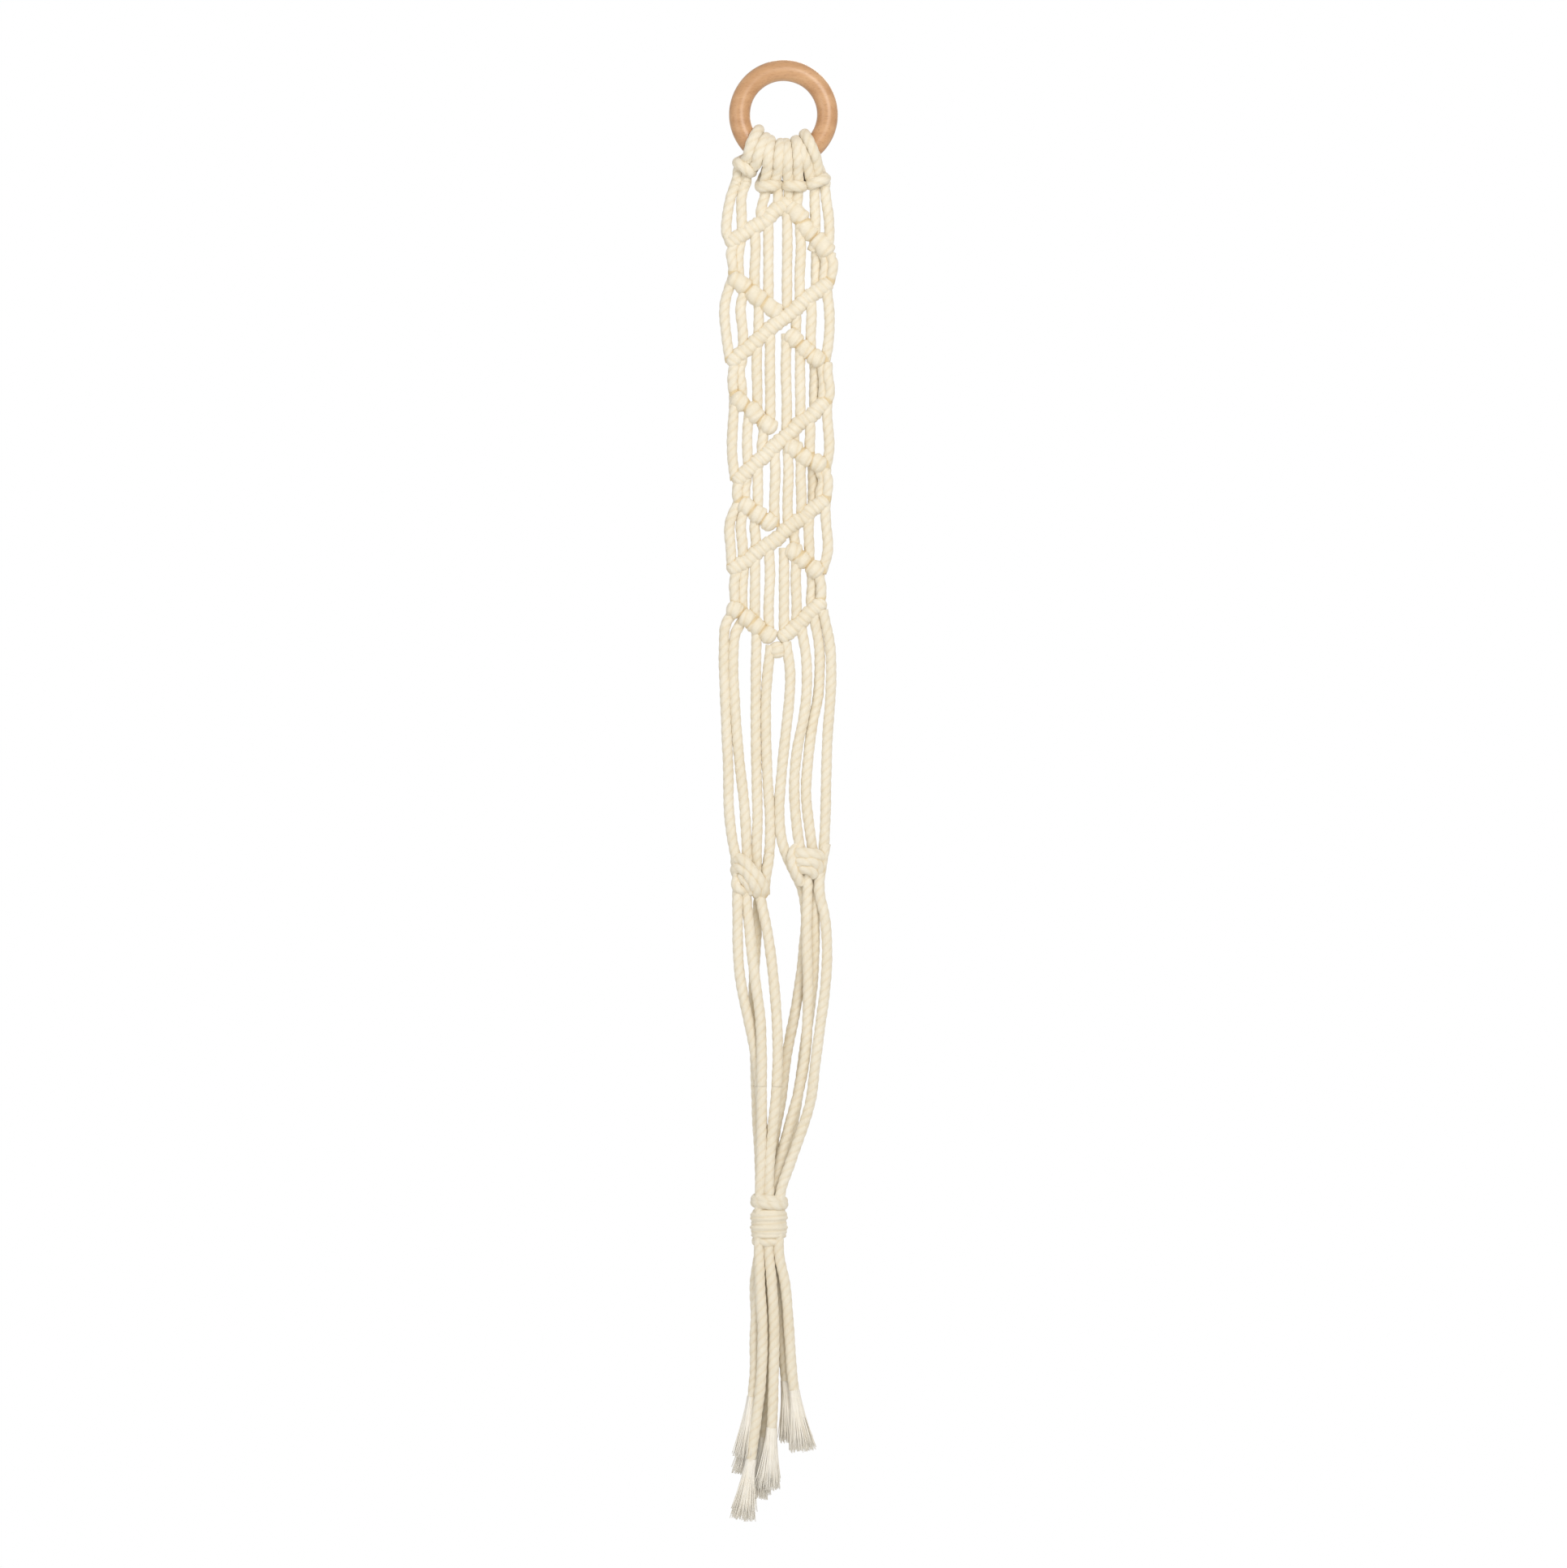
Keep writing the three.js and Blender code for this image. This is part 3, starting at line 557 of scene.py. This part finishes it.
# ---- Knotted panel ----
# Four diamonds of diagonal double half hitches. In each row one cord runs straight as the leader
# and every other cord it meets is wound round it twice. The rows that fall to the left are drawn
# even and close, and those that fall to the right are fuller, with a crease after each knot.
# Between the rows the cords hang straight with air between them.
panel_rows = [
    # name, the row above that its hanging cords start in, leader from, leader to, how many cords
    # are knotted on it, and the cords that hang into it: (x, y), or (x, y, x of their start)
    ("diamond_1_upper_left", None, (0.003, -0.0727), (-0.0315, -0.097), 6,
     []),
    ("diamond_1_upper_right", None, (0.0035, -0.0745), (0.026, -0.103), 3,
     []),
    ("diamond_1_lower_right", "diamond_1_upper_right", (0.026, -0.121), (-0.0015, -0.142), 5,
     [(0.0022, 0), (0.01, 0), (0.0195, 0.0035), (0.0238, 0.001), (0.0282, -0.0005)]),
    ("diamond_1_lower_left", "diamond_1_upper_left", (-0.0305, -0.1165), (-0.003, -0.1395), 3,
     [(-0.017, 0), (-0.009, 0), (-0.0298, -0.0005), (-0.0258, 0.001)]),
    ("diamond_2_upper_left", "diamond_1_lower_left", (-0.001, -0.142), (-0.0305, -0.168), 5,
     [(-0.0335, 0, -0.03), (-0.024, 0), (-0.0148, 0)]),
    ("diamond_2_upper_right", "diamond_1_lower_right", (0.003, -0.151), (0.0235, -0.1685), 3,
     [(0.0075, 0.0015), (0.0165, 0), (0.0262, 0)]),
    ("diamond_2_lower_right", "diamond_2_upper_right", (0.0245, -0.193), (-0.004, -0.216), 5,
     [(0.0017, 0), (0.01, 0), (0.0185, 0.0045), (0.023, 0.001), (0.0262, -0.0005)]),
    ("diamond_2_lower_left", "diamond_2_upper_left", (-0.0285, -0.188), (-0.006, -0.208), 3,
     [(-0.0158, 0), (-0.008, 0), (-0.0293, -0.0005), (-0.0246, 0.001)]),
    ("diamond_3_upper_left", "diamond_2_lower_left", (-0.004, -0.217), (-0.0275, -0.2385), 5,
     [(-0.0295, 0), (-0.0206, 0), (-0.0124, 0.001)]),
    ("diamond_3_upper_right", "diamond_2_lower_right", (0.002, -0.217), (0.024, -0.232), 3,
     [(0.0065, 0.0015), (0.0158, 0), (0.026, 0)]),
    ("diamond_3_lower_right", "diamond_3_upper_right", (0.024, -0.251), (-0.001, -0.2695), 5,
     [(0.0027, 0), (0.0105, 0), (0.0176, 0.0045), (0.022, 0.001), (0.0254, -0.0005)]),
    ("diamond_3_lower_left", "diamond_3_upper_left", (-0.0255, -0.252), (-0.006, -0.2665), 3,
     [(-0.0153, 0), (-0.0052, 0), (-0.0266, -0.0005), (-0.0218, 0.001)]),
    ("diamond_4_upper_left", "diamond_3_lower_left", (-0.002, -0.2715), (-0.0303, -0.292), 5,
     [(-0.0308, 0, -0.027), (-0.024, 0), (-0.0168, 0.001)]),
    ("diamond_4_upper_right", "diamond_3_lower_right", (0.002, -0.279), (0.0215, -0.294), 3,
     [(0.0065, 0.0015), (0.0152, 0), (0.025, 0)]),
    ("diamond_4_lower_right", "diamond_4_upper_right", (0.0225, -0.312), (-0.0005, -0.332), 4,
     [(0.0003, 0), (0.0076, 0), (0.0168, 0.0025), (0.0215, -0.0005)]),
    ("diamond_4_lower_left", "diamond_4_upper_left", (-0.0325, -0.314), (-0.006, -0.3335), 4,
     [(-0.017, 0), (-0.0085, 0), (-0.0283, -0.0005), (-0.0236, 0.001)]),
]


lump, band = 0.0056, 0.0048  # radius of a knot in a full row, and of an even row
lump_groove, band_groove = 0.2, 0.16
lump_half, lump_turn = 0.62, 0.52  # half a knot's length and one of its turns, over the spacing
row_step, row_sides = 0.0005, 40


def height_on(row, x):
    """How high the straight leader of a row runs at x, or at its nearer end past it."""
    (start_x, start_z), (end_x, end_z) = row[2:4]
    share = (min(max(start_x, end_x), max(min(start_x, end_x), x)) - start_x) / (end_x - start_x)
    return start_z + (end_z - start_z) * share


def hitch_row(row, above):
    """One row, two turns to a knot round the leader. An even row is wound in one go. In a full row
    each knot is wound by itself, a little off the leader and turned a little, so that it swells
    between two creases. Each cord that hangs into the row starts inside the row above, at that
    row's leader, and ends inside this one."""
    name, _, start, end, knots, hanging = row
    a, b = np.array([start[0], 0, start[1]]), np.array([end[0], 0, end[1]])
    length = np.linalg.norm(b - a)
    e = (b - a) / length
    up = np.array([-e[2], 0, e[0]])
    up = up * np.sign(up[2])
    back = np.array([0, 1, 0])
    spacing = length / knots
    parts = []
    if e[0] > 0:
        for k in range(knots):
            wobble = chance.normal(0, 1, 5)
            middle = a + e * ((k + 0.5) * spacing + wobble[0] * 0.0004) + up * wobble[1] * 0.0005
            half = (e + up * wobble[2] * 0.15) * spacing * lump_half
            line = smooth_line([middle - half, middle - back * 0.0004, middle + half], row_step)
            parts.append((line, lump + wobble[3] * 0.0002, wobble[4], 1, spacing * lump_turn,
                          lump_groove, row_sides))
    else:
        bend = [a - e * 0.003, *[a + e * (k + 0.5) * spacing + up * chance.normal(0, 0.0004)
                                 for k in range(knots)], b + e * 0.003]
        parts.append((smooth_line(bend, row_step), band, 1.0, 1, spacing / 2, band_groove,
                      row_sides))
    overhang = 0.0012  # how far past the row's end a cord may end
    bowing, bows_past = 0.0008, 0.0205  # a cord further out than the second bows out by the first
    low, high = sorted((start[0], end[0]))
    for x, y, *start_x in hanging:
        top_x = start_x[0] if start_x else x
        top, height = height_on(above, top_x), height_on(row, x)
        foot_x = min(high + overhang, max(low - overhang, x))
        sway = chance.normal(0, 0.0003)
        bow = math.copysign(bowing, x) if abs(x) > bows_past else 0
        reach = (top - height) * 0.28
        tucked, easing = y * 0.2 + 0.0006, y * 0.7 + 0.0002
        parts.append((smooth_line([(top_x, tucked, top),
                                   (top_x * 0.25 + x * 0.75, easing, top - reach * 0.5),
                                   (x + sway + bow, y, top - reach),
                                   (x - sway + bow, y, height + reach),
                                   (foot_x, tucked, height)]),
                      rope, float(chance.uniform(0, 6))))
    return rope_piece(f"{name}_knots", parts, "panel", [name], cotton)


row_named = {row[0]: row for row in panel_rows}
for row in panel_rows:
    hitch_row(row, row_named.get(row[1]))

# ---- Knot under the panel ----
# Where the last two rows meet, the two leaders are tied round each other in one small knot.
tied = [(smooth_line([(-0.0048, 0, -0.3350), (-0.0038, 0, -0.3400), (-0.0034, 0, -0.3448)], 0.0004),
         0.0048, 0.4, 1, 0.0046, 0.22, 40)]
rope_piece("tie_under_panel", tied, "panel", ["bottom_knot"], cotton)

# ---- Legs ----
# The eight cords part into two legs of four, which hang loose and nearly straight to the square knots.
# Each cord is one length from the ring to its frayed tip. All the routes are given here once, from the
# panel to the tips.
cords = [
    [
        (-0.0295, 0.002, -0.3165), (-0.034, 0.0005, -0.3235), (-0.0355, 0, -0.3395),
        (-0.0355, 0, -0.3515), (-0.035, 0, -0.3635),
        (-0.034, 0, -0.388), (-0.033, 0, -0.412), (-0.0325, 0, -0.4365), (-0.0305, 0, -0.4535),
        (-0.028, 0, -0.4665), (-0.0275, 0, -0.4775), (-0.0275, -0.001, -0.489),
        (-0.0274, -0.002, -0.4995), (-0.0273, -0.002, -0.514), (-0.0264, -0.002, -0.531),
        (-0.0242, -0.002, -0.5455), (-0.0206, -0.0015, -0.562), (-0.0174, -0.0005, -0.578),
        (-0.0148, 0.0005, -0.595), (-0.0132, 0.0005, -0.614), (-0.012, 0.0005, -0.64),
        (-0.0116, 0, -0.662), (-0.0116, 0, -0.6815), (-0.0116, 0, -0.6985), (-0.0145, 0, -0.7175),
        (-0.017, 0, -0.747), (-0.0175, -0.001, -0.776), (-0.0215, -0.001, -0.8),
        (-0.028, -0.001, -0.8125), (-0.032, -0.001, -0.818),
    ],
    [
        (-0.024, 0.002, -0.3215), (-0.0283, 0.0005, -0.329), (-0.03, 0, -0.342),
        (-0.03, 0, -0.354), (-0.0295, 0, -0.3635),
        (-0.028, 0, -0.388), (-0.026, 0, -0.4095), (-0.0235, 0, -0.4315), (-0.022, 0, -0.456),
        (-0.0215, 0, -0.4705), (-0.022, 0, -0.489), (-0.0205, -0.002, -0.5045),
        (-0.0186, -0.004, -0.5235), (-0.0164, -0.005, -0.5405), (-0.014, -0.005, -0.558),
        (-0.0131, -0.005, -0.578), (-0.013, -0.005, -0.6), (-0.0131, -0.005, -0.6255),
        (-0.0133, -0.005, -0.645), (-0.0139, -0.005, -0.662), (-0.0145, -0.005, -0.6815),
        (-0.0145, -0.005, -0.6985), (-0.014, -0.006, -0.7175), (-0.0125, -0.006, -0.747),
        (-0.0135, -0.006, -0.776), (-0.017, -0.005, -0.805), (-0.021, -0.004, -0.834),
        (-0.024, -0.003, -0.855),
    ],
    [
        (-0.016, 0, -0.33), (-0.0165, 0, -0.3515), (-0.0165, 0, -0.3635), (-0.0165, 0, -0.388),
        (-0.016, 0, -0.417), (-0.0155, 0, -0.441), (-0.016, 0, -0.4605), (-0.0155, 0, -0.475),
        (-0.0135, 0, -0.489), (-0.0095, -0.001, -0.509), (-0.0065, -0.003, -0.531),
        (-0.0045, -0.004, -0.553), (-0.0035, -0.005, -0.572), (-0.0035, -0.005, -0.5865),
        (-0.0045, -0.005, -0.606), (-0.007, -0.005, -0.6305), (-0.0085, -0.005, -0.65),
        (-0.0087, -0.005, -0.6645), (-0.0087, -0.005, -0.6815), (-0.0087, -0.005, -0.6985),
        (-0.007, -0.006, -0.7175), (-0.0055, -0.006, -0.747), (-0.006, -0.006, -0.776),
        (-0.007, -0.005, -0.805), (-0.01, -0.004, -0.8365),
    ],
    [
        (-0.0075, 0, -0.337), (-0.0095, 0, -0.354), (-0.0105, 0, -0.3685), (-0.0105, 0, -0.388),
        (-0.0095, 0, -0.417), (-0.008, 0, -0.441), (-0.0085, 0.001, -0.4605),
        (-0.011, 0.003, -0.474), (-0.0145, 0.006, -0.4875), (-0.016, 0.0065, -0.509),
        (-0.0176, 0.0065, -0.5335), (-0.0178, 0.0065, -0.5575), (-0.017, 0.0065, -0.582),
        (-0.0163, 0.006, -0.6035), (-0.0154, 0.0055, -0.6255), (-0.0142, 0.005, -0.645),
        (-0.014, 0.005, -0.662), (-0.0145, 0.005, -0.6815), (-0.0145, 0.005, -0.6985),
        (-0.017, 0.006, -0.7175), (-0.016, 0.006, -0.747), (-0.0155, 0.006, -0.776),
        (-0.018, 0.006, -0.8), (-0.0225, 0.005, -0.817), (-0.0265, 0.004, -0.829),
    ],
    [
        (0.0015, 0, -0.335), (0.004, 0, -0.354), (0.0035, 0, -0.3685), (0.0015, 0, -0.388),
        (-0.001, 0, -0.412), (-0.0025, 0, -0.4365), (-0.0015, 0, -0.451), (0.001, 0.001, -0.4605),
        (0.006, 0.003, -0.4715), (0.011, 0.005, -0.4825), (0.0133, 0.0063, -0.4955),
        (0.0122, 0.0065, -0.518), (0.0094, 0.0065, -0.5415), (0.007, 0.006, -0.556),
        (0.0036, 0.006, -0.573), (0.001, 0.0058, -0.588), (-0.001, 0.0055, -0.606),
        (-0.0045, 0.005, -0.6255), (-0.0075, 0.005, -0.645), (-0.0087, 0.005, -0.6645),
        (-0.0087, 0.005, -0.6815), (-0.0087, 0.005, -0.6985), (-0.0095, 0.006, -0.7175),
        (-0.0095, 0.006, -0.747), (-0.009, 0.006, -0.776), (-0.0105, 0.005, -0.8),
        (-0.0135, 0.004, -0.8245), (-0.0155, 0.003, -0.843),
    ],
    [
        (0.0105, 0, -0.326), (0.0135, 0, -0.344), (0.014, 0, -0.354), (0.0135, 0, -0.3685),
        (0.012, 0, -0.3805), (0.0085, 0, -0.3975), (0.0065, 0, -0.417), (0.0075, 0, -0.441),
        (0.01, 0, -0.458), (0.014, 0, -0.4705), (0.0144, -0.0005, -0.484),
        (0.0139, -0.001, -0.4995), (0.014, -0.001, -0.518), (0.0147, -0.001, -0.5415),
        (0.0144, 0, -0.5575), (0.013, 0, -0.582), (0.009, 0, -0.6035), (0.003, 0, -0.6255),
        (-0.0025, 0, -0.646), (-0.0058, 0, -0.6645), (-0.0058, 0, -0.6815), (-0.0058, 0, -0.6985),
        (-0.0026, 0.001, -0.7175), (-0.0012, 0.001, -0.747), (0.0014, 0.001, -0.776),
        (0.0032, 0.001, -0.7955), (0.0035, 0.001, -0.809),
    ],
    [
        (0.018, 0, -0.319), (0.0215, 0.001, -0.3395), (0.0215, 0.002, -0.354),
        (0.0205, 0.003, -0.3685), (0.0175, 0.002, -0.383), (0.015, 0.001, -0.4025),
        (0.0135, 0, -0.4265), (0.0155, 0, -0.446), (0.0175, 0.001, -0.4605), (0.019, 0.003, -0.473),
        (0.0196, 0.0024, -0.485), (0.0187, 0.002, -0.4995), (0.0185, 0.0026, -0.518),
        (0.0172, 0.0046, -0.5415), (0.0158, 0.0056, -0.554), (0.0136, 0.0065, -0.57),
        (0.0115, 0.0065, -0.587), (0.0086, 0.0063, -0.606), (0.0046, 0.0057, -0.63),
        (-0.0005, 0.005, -0.651), (-0.0029, 0.005, -0.6655), (-0.0029, 0.005, -0.6815),
        (-0.0029, 0.005, -0.6985), (-0.001, 0.0064, -0.7175), (0.0006, 0.007, -0.747),
        (0.0036, 0.007, -0.776), (0.007, 0.006, -0.7955), (0.0105, 0.005, -0.8135),
    ],
    [
        (0.0235, 0, -0.316), (0.028, 0, -0.3395), (0.0285, 0, -0.354), (0.028, 0, -0.3685),
        (0.0265, 0, -0.388), (0.0255, 0, -0.417), (0.025, 0, -0.441), (0.024, 0, -0.458),
        (0.022, -0.001, -0.4715), (0.0215, -0.002, -0.484), (0.0245, -0.002, -0.4985),
        (0.026, -0.002, -0.518), (0.025, -0.003, -0.5405), (0.022, -0.004, -0.5635),
        (0.019, -0.005, -0.5865), (0.016, -0.005, -0.6095), (0.0095, -0.005, -0.6305),
        (0.0035, -0.005, -0.6475), (-0.0015, -0.005, -0.6625), (-0.0029, -0.005, -0.674),
        (-0.0029, -0.005, -0.686), (-0.0029, -0.005, -0.6985), (0.0008, -0.005, -0.7175),
        (0.0034, -0.005, -0.747), (0.0056, -0.005, -0.776), (0.0086, -0.005, -0.7955),
        (0.013, -0.004, -0.8135),
    ],
]
side_of = ["left"] * 4 + ["right"] * 4
knot_height = {"left": -0.4749, "right": -0.466}
inside_knot = 0.004  # how far below a knot's middle the cords of the leg give way to the cradle's
leg_start, leg_end = (0, 0, -0.339), (0, 0, -0.364)
turn_of = [0.3, 1.7, 2.9, 4.4, 5.1, 0.9, 2.2, 3.6]  # where each rope's strands stand at its start


def cord_stretch(number, top, bottom):
    """Cord number's own line between two heights, and how far along the cord it starts."""
    line = smooth_line(cords[number])
    first = int(np.argmax(line[:, 2] <= top))
    last = int(np.argmax(line[:, 2] <= bottom)) or len(line)
    return line[first:last + 1], line_length(line[: first + 1])


def hang(name, number, top, bottom, body, nodes):
    """A length of cord number between two heights. Its strands keep turning where the length above left
    off."""
    line, before = cord_stretch(number, top, bottom)
    phase = turn_of[number] + 2 * np.pi * before / lay
    made = rope_piece(name, [(line, rope, phase)], body, nodes, cotton)
    return made


for number, side in enumerate(side_of):
    hang(f"leg_rope_{number + 1}", number, 0, knot_height[side] - inside_knot,
         ("panel", f"leg_{side}", leg_start, leg_end), [f"leg_cord_{number + 1}"])

# ---- Square knots ----
# On each leg the outer two cords are tied round the inner two: one cord crosses the front twice,
# the other passes behind and comes up round the first at the side. Pulled tight by hand.
phase_between = 1.4  # from one tying cord's strands to the next one's


def square_knot(name, centre, body, node, tying_cords):
    """Each tying cord is its radius and its points, (across, up, forward) in millimetres from the
    middle of the knot."""
    parts = []
    for radius, points in tying_cords:
        placed = [(centre[0] + across / 1000, -forward / 1000, centre[1] + raised / 1000)
                  for across, raised, forward in points]
        parts.append((smooth_line(placed), radius, len(parts) * phase_between))
    return rope_piece(name, parts, body, [node], cotton)


square_knot("square_knot_ropes_left", (-0.0184, knot_height["left"]), "leg_left",
            "square_knot_left", [
    (0.0037, [(-8, 5, -4), (-9.6, 8.5, -0.5), (-8.2, 10.2, 1.8), (-5.2, 8.8, 3.8), (-1.4, 4.6, 5.2),
              (2.2, 0.4, 5.2), (5.0, -3.6, 4.0), (6.4, -7.6, 1.8), (5.6, -10.6, 0), (2, -10.2, -3.5)]),
    (0.0038, [(-9.4, 2, -3), (-9.6, 4.4, 0), (-7.4, 4.8, 2.4), (-4.0, 3.0, 4.2), (-1.2, -0.8, 5.2),
              (1.2, -4.8, 4.6), (2.8, -8.0, 2.6), (3.0, -10.4, 0)]),
    (0.0036, [(-7, 0.6, 1), (-4.4, -2.4, 2.8), (-2, -5.6, 2.6), (-0.6, -9.6, 0)]),
    (0.0031, [(-4, 0, -3.6), (-8.2, -0.8, -0.8), (-10.0, -3.6, 2.0), (-9.2, -6.8, 3.0),
              (-5.6, -8.4, 1.4), (-2, -8.6, -3)]),
    (0.0032, [(10.0, 13, 0), (9.4, 8, 1.4), (8.4, 3, 2.2), (7.6, -2, 1.4), (7.2, -7, 0.6),
              (7.4, -11, 0)]),
    (0.0030, [(7, 4, -3), (2, 1, -5.4), (-4, -2, -5.2), (-8, -5, -3)]),
])
square_knot("square_knot_ropes_right", (0.0132, knot_height["right"]), "leg_right",
            "square_knot_right", [
    (0.0033, [(-2, 6, -3.6), (-5.4, 7.6, 0.4), (-7.6, 4.8, 3.4), (-8.0, -0.2, 4.2), (-6.4, -5.4, 3.6),
              (-4.0, -10, 1.6), (-2.6, -13.4, -0.8)]),
    (0.0039, [(-6.8, 3.2, -1), (-5.2, 4.6, 3.0), (-1.0, 4.4, 5.2), (3.8, 4.0, 5.4), (7.4, 3.2, 3.8),
              (9.4, 1.2, 0.2), (8, -0.4, -3)]),
    (0.0040, [(-5.6, -2.6, 1.2), (-3.0, -0.2, 4.0), (0.6, 0.2, 5.2), (4.6, -0.2, 5.1),
              (7.2, -3.0, 3.0), (8.2, -7, 0.2)]),
    (0.0031, [(12, 10, 0), (11.2, 5.4, 1.6), (10.2, 0.6, 2.0), (9.4, -4.4, 1.4), (8.6, -9.4, 0.4)]),
    (0.0036, [(-4.6, -4.2, 1.6), (-0.8, -4.4, 4.2), (3.2, -5.0, 4.2), (6.0, -8.2, 1.5)]),
])

# ---- Cradle ----
# Below the knots four cords on each side pass in front of and behind the space for a pot and draw
# together again.
seam = -0.600  # where a left cord's two lengths meet, end to end
left_end, right_end = -0.676, -0.669  # inside the wrap
bend_height = {"left": -0.4926, "right": -0.4859}
bend_above, bend_below = 0.010, 0.022  # how far above and below it the range given with each cradle length reaches
wrap_bend = ("cradle_left", "wrap", (0, 0, -0.655), (0, 0, -0.674))
for number, side in enumerate(side_of):
    height = bend_height[side]
    bend = (f"leg_{side}", f"cradle_{side}", (0, 0, height + bend_above),
            (0, 0, height - bend_below))
    hang(f"cradle_rope_{number + 1}", number, knot_height[side] - inside_knot,
         seam if side == "left" else right_end, bend, [f"cradle_cord_{number + 1}"])
    if side == "left":
        hang(f"cradle_rope_{number + 1}_low", number, seam, left_end, wrap_bend, [])

# ---- Gathering wrap ----
# A separate length of the same rope binds all eight cords. Its first two turns are slack and slant
# to the right, the rest lie tight and close, and a narrower last turn shows below them.
wrap_x = -0.0087
slack_radius, slack_gain, slack_start = 0.0078, 0.0004, 2.2
turns = np.linspace(0, 2 * np.pi * 2.15, 90)
share = turns / turns[-1]
slack_reach = slack_radius + slack_gain * share
slack_turns = np.stack([
    wrap_x + slack_reach * np.cos(turns - slack_start) + 0.0003,
    -slack_reach * np.sin(turns - slack_start),
    -0.6670 - 0.0046 * share - 0.0012 * np.cos(turns - slack_start)], 1)
tight_radius, tight_pitch, tight_groove = 0.0109, 0.0043, 0.04
tight_turns = smooth_line([(wrap_x - 0.0002, 0, -0.6722), (wrap_x, 0, -0.682),
                           (wrap_x - 0.0001, 0, -0.6925)], 0.0005)
last_start = 2.9
turns = np.linspace(0, 2 * np.pi * 1.1, 60)
last_turn = np.stack([wrap_x - 0.0007 + 0.0068 * np.cos(turns - last_start),
                      -0.0066 * np.sin(turns - last_start), -0.6926 - 0.0004 * turns / 6.3], 1)
rope_piece("gathering_wrap_rope", [
    (smooth_line(slack_turns), full, 0.2),
    (tight_turns, tight_radius, 2.4, 1, tight_pitch, tight_groove, 64),
    (smooth_line(last_turn), pressed, 1.2)], "wrap", ["gathering_wrap"], cotton)

# ---- Tassel ----
# The eight cords run on out of the wrap and hang loose. Each is cut square and has come untwisted
# for its last three centimetres, where it is a soft brush of pale yarn ends.
frayed = cotton_material("frayed_cotton", (0.97, 0.94, 0.875, 1), (0.97, 0.94, 0.88, 1))


def unit(vector):
    """The same direction, one long."""
    return vector / np.linalg.norm(vector)


def fray(name, line):
    """A cord's untwisted end. Its core is a bundle of seven soft strands that opens from the rope's
    own radius by (share of length)^1.3 and stops short of the tip. Round it and past it run tapering
    fibres of four sides that open by (share)^1.4 times a spread that grows away from the middle."""
    tip = line[-1]
    heading = unit(tip - line[-8])
    side = unit(np.cross(heading, (0, 1, 0)))
    other = np.cross(heading, side)

    core_strands, core_twist, core_groove = 7, 0.09, 0.3
    core_opens, core_point = 0.62, 0.02
    reach = np.linspace(-0.003, 0.025, 30)
    core_line = tip + heading * reach[:, None]
    core = rope_surface(core_line, rope, 0, core_strands, core_twist, core_groove, 42)[0]
    widen = 0.93 + core_opens * np.clip(reach / reach[-1], 0, 1) ** 1.3
    core = core_line[:, None] + (core - core_line[:, None]) * widen[:, None, None]
    core = np.concatenate([core, core_line[-1] + (core[-1:] - core_line[-1]) * core_point
                           + heading * 0.0012])
    core = np.concatenate([core_line[0] + (core[:1] - core_line[0]) * core_point, core])

    count, sections, sides = 320, 8, 4
    shortest, longest, inside = 0.030, 0.0372, 0.005
    straying, fanning = 0.026, 0.12
    fibre_radius, taper = 0.00055, 0.6
    angle = chance.uniform(0, 2 * np.pi, count)
    share = chance.uniform(0.2, 1, count) ** 0.4
    length = chance.uniform(shortest, longest, count)
    spread = chance.normal(0, straying, (count, 2)) + (fanning * share)[:, None] * np.stack(
        [np.cos(angle), np.sin(angle)], 1)
    t = np.linspace(0, 1, sections)
    drift = (t ** 1.4)[None, :, None] * spread[:, None] * length[:, None, None]
    u = (rope * 0.88 * share * np.cos(angle))[:, None] + drift[..., 0]
    v = (rope * 0.88 * share * np.sin(angle))[:, None] + drift[..., 1]
    middle = tip + heading * (length[:, None] * t - inside)[..., None] + side * u[..., None] \
        + other * v[..., None]
    thick = fibre_radius * (1 - taper * t)
    around = np.linspace(0, 2 * np.pi, sides, endpoint=False)
    shell = (middle[:, :, None] + thick[None, :, None, None]
             * (side * np.cos(around)[:, None] + other * np.sin(around)[:, None])[None, None])

    start = (np.arange(count) * sections * sides)[:, None, None]
    ends = np.array([[0, 3, 2, 1], [0, 1, 2, 3]]) + np.array([[0], [(sections - 1) * sides]])
    core_first = count * sections * sides
    last = core_first + (len(core) - 1) * core.shape[1]
    quads = np.concatenate([(grid_quads(sections, sides)[None] + start).reshape(-1, 4),
                            (ends[None] + start).reshape(-1, 4),
                            grid_quads(*core.shape[:2]) + core_first]).tolist()
    lids = [list(range(core_first, core_first + core.shape[1]))[::-1],
            list(range(last, last + core.shape[1]))]
    mesh = bpy.data.meshes.new(name)
    mesh.from_pydata(np.concatenate([shell.reshape(-1, 3), core.reshape(-1, 3)]).tolist(), [],
                     quads + lids)
    mesh.shade_smooth()
    mesh.materials.append(frayed)
    made = put(name, mesh)
    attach(made, "tassel")


in_wrap = -0.688  # where the tassel's lengths start, inside the wrap
brush = 0.028  # how much of each cord has come untwisted
swing_start, swing_end = (0, 0, -0.699), (0, 0, -0.715)
for number, route in enumerate(cords):
    cut = route[-1][2] + brush
    hang(f"tassel_rope_{number + 1}", number, in_wrap, cut,
         ("wrap", "tassel", swing_start, swing_end), [f"tassel_cord_{number + 1}"])
    fray(f"frayed_end_{number + 1}", cord_stretch(number, in_wrap, cut)[0])
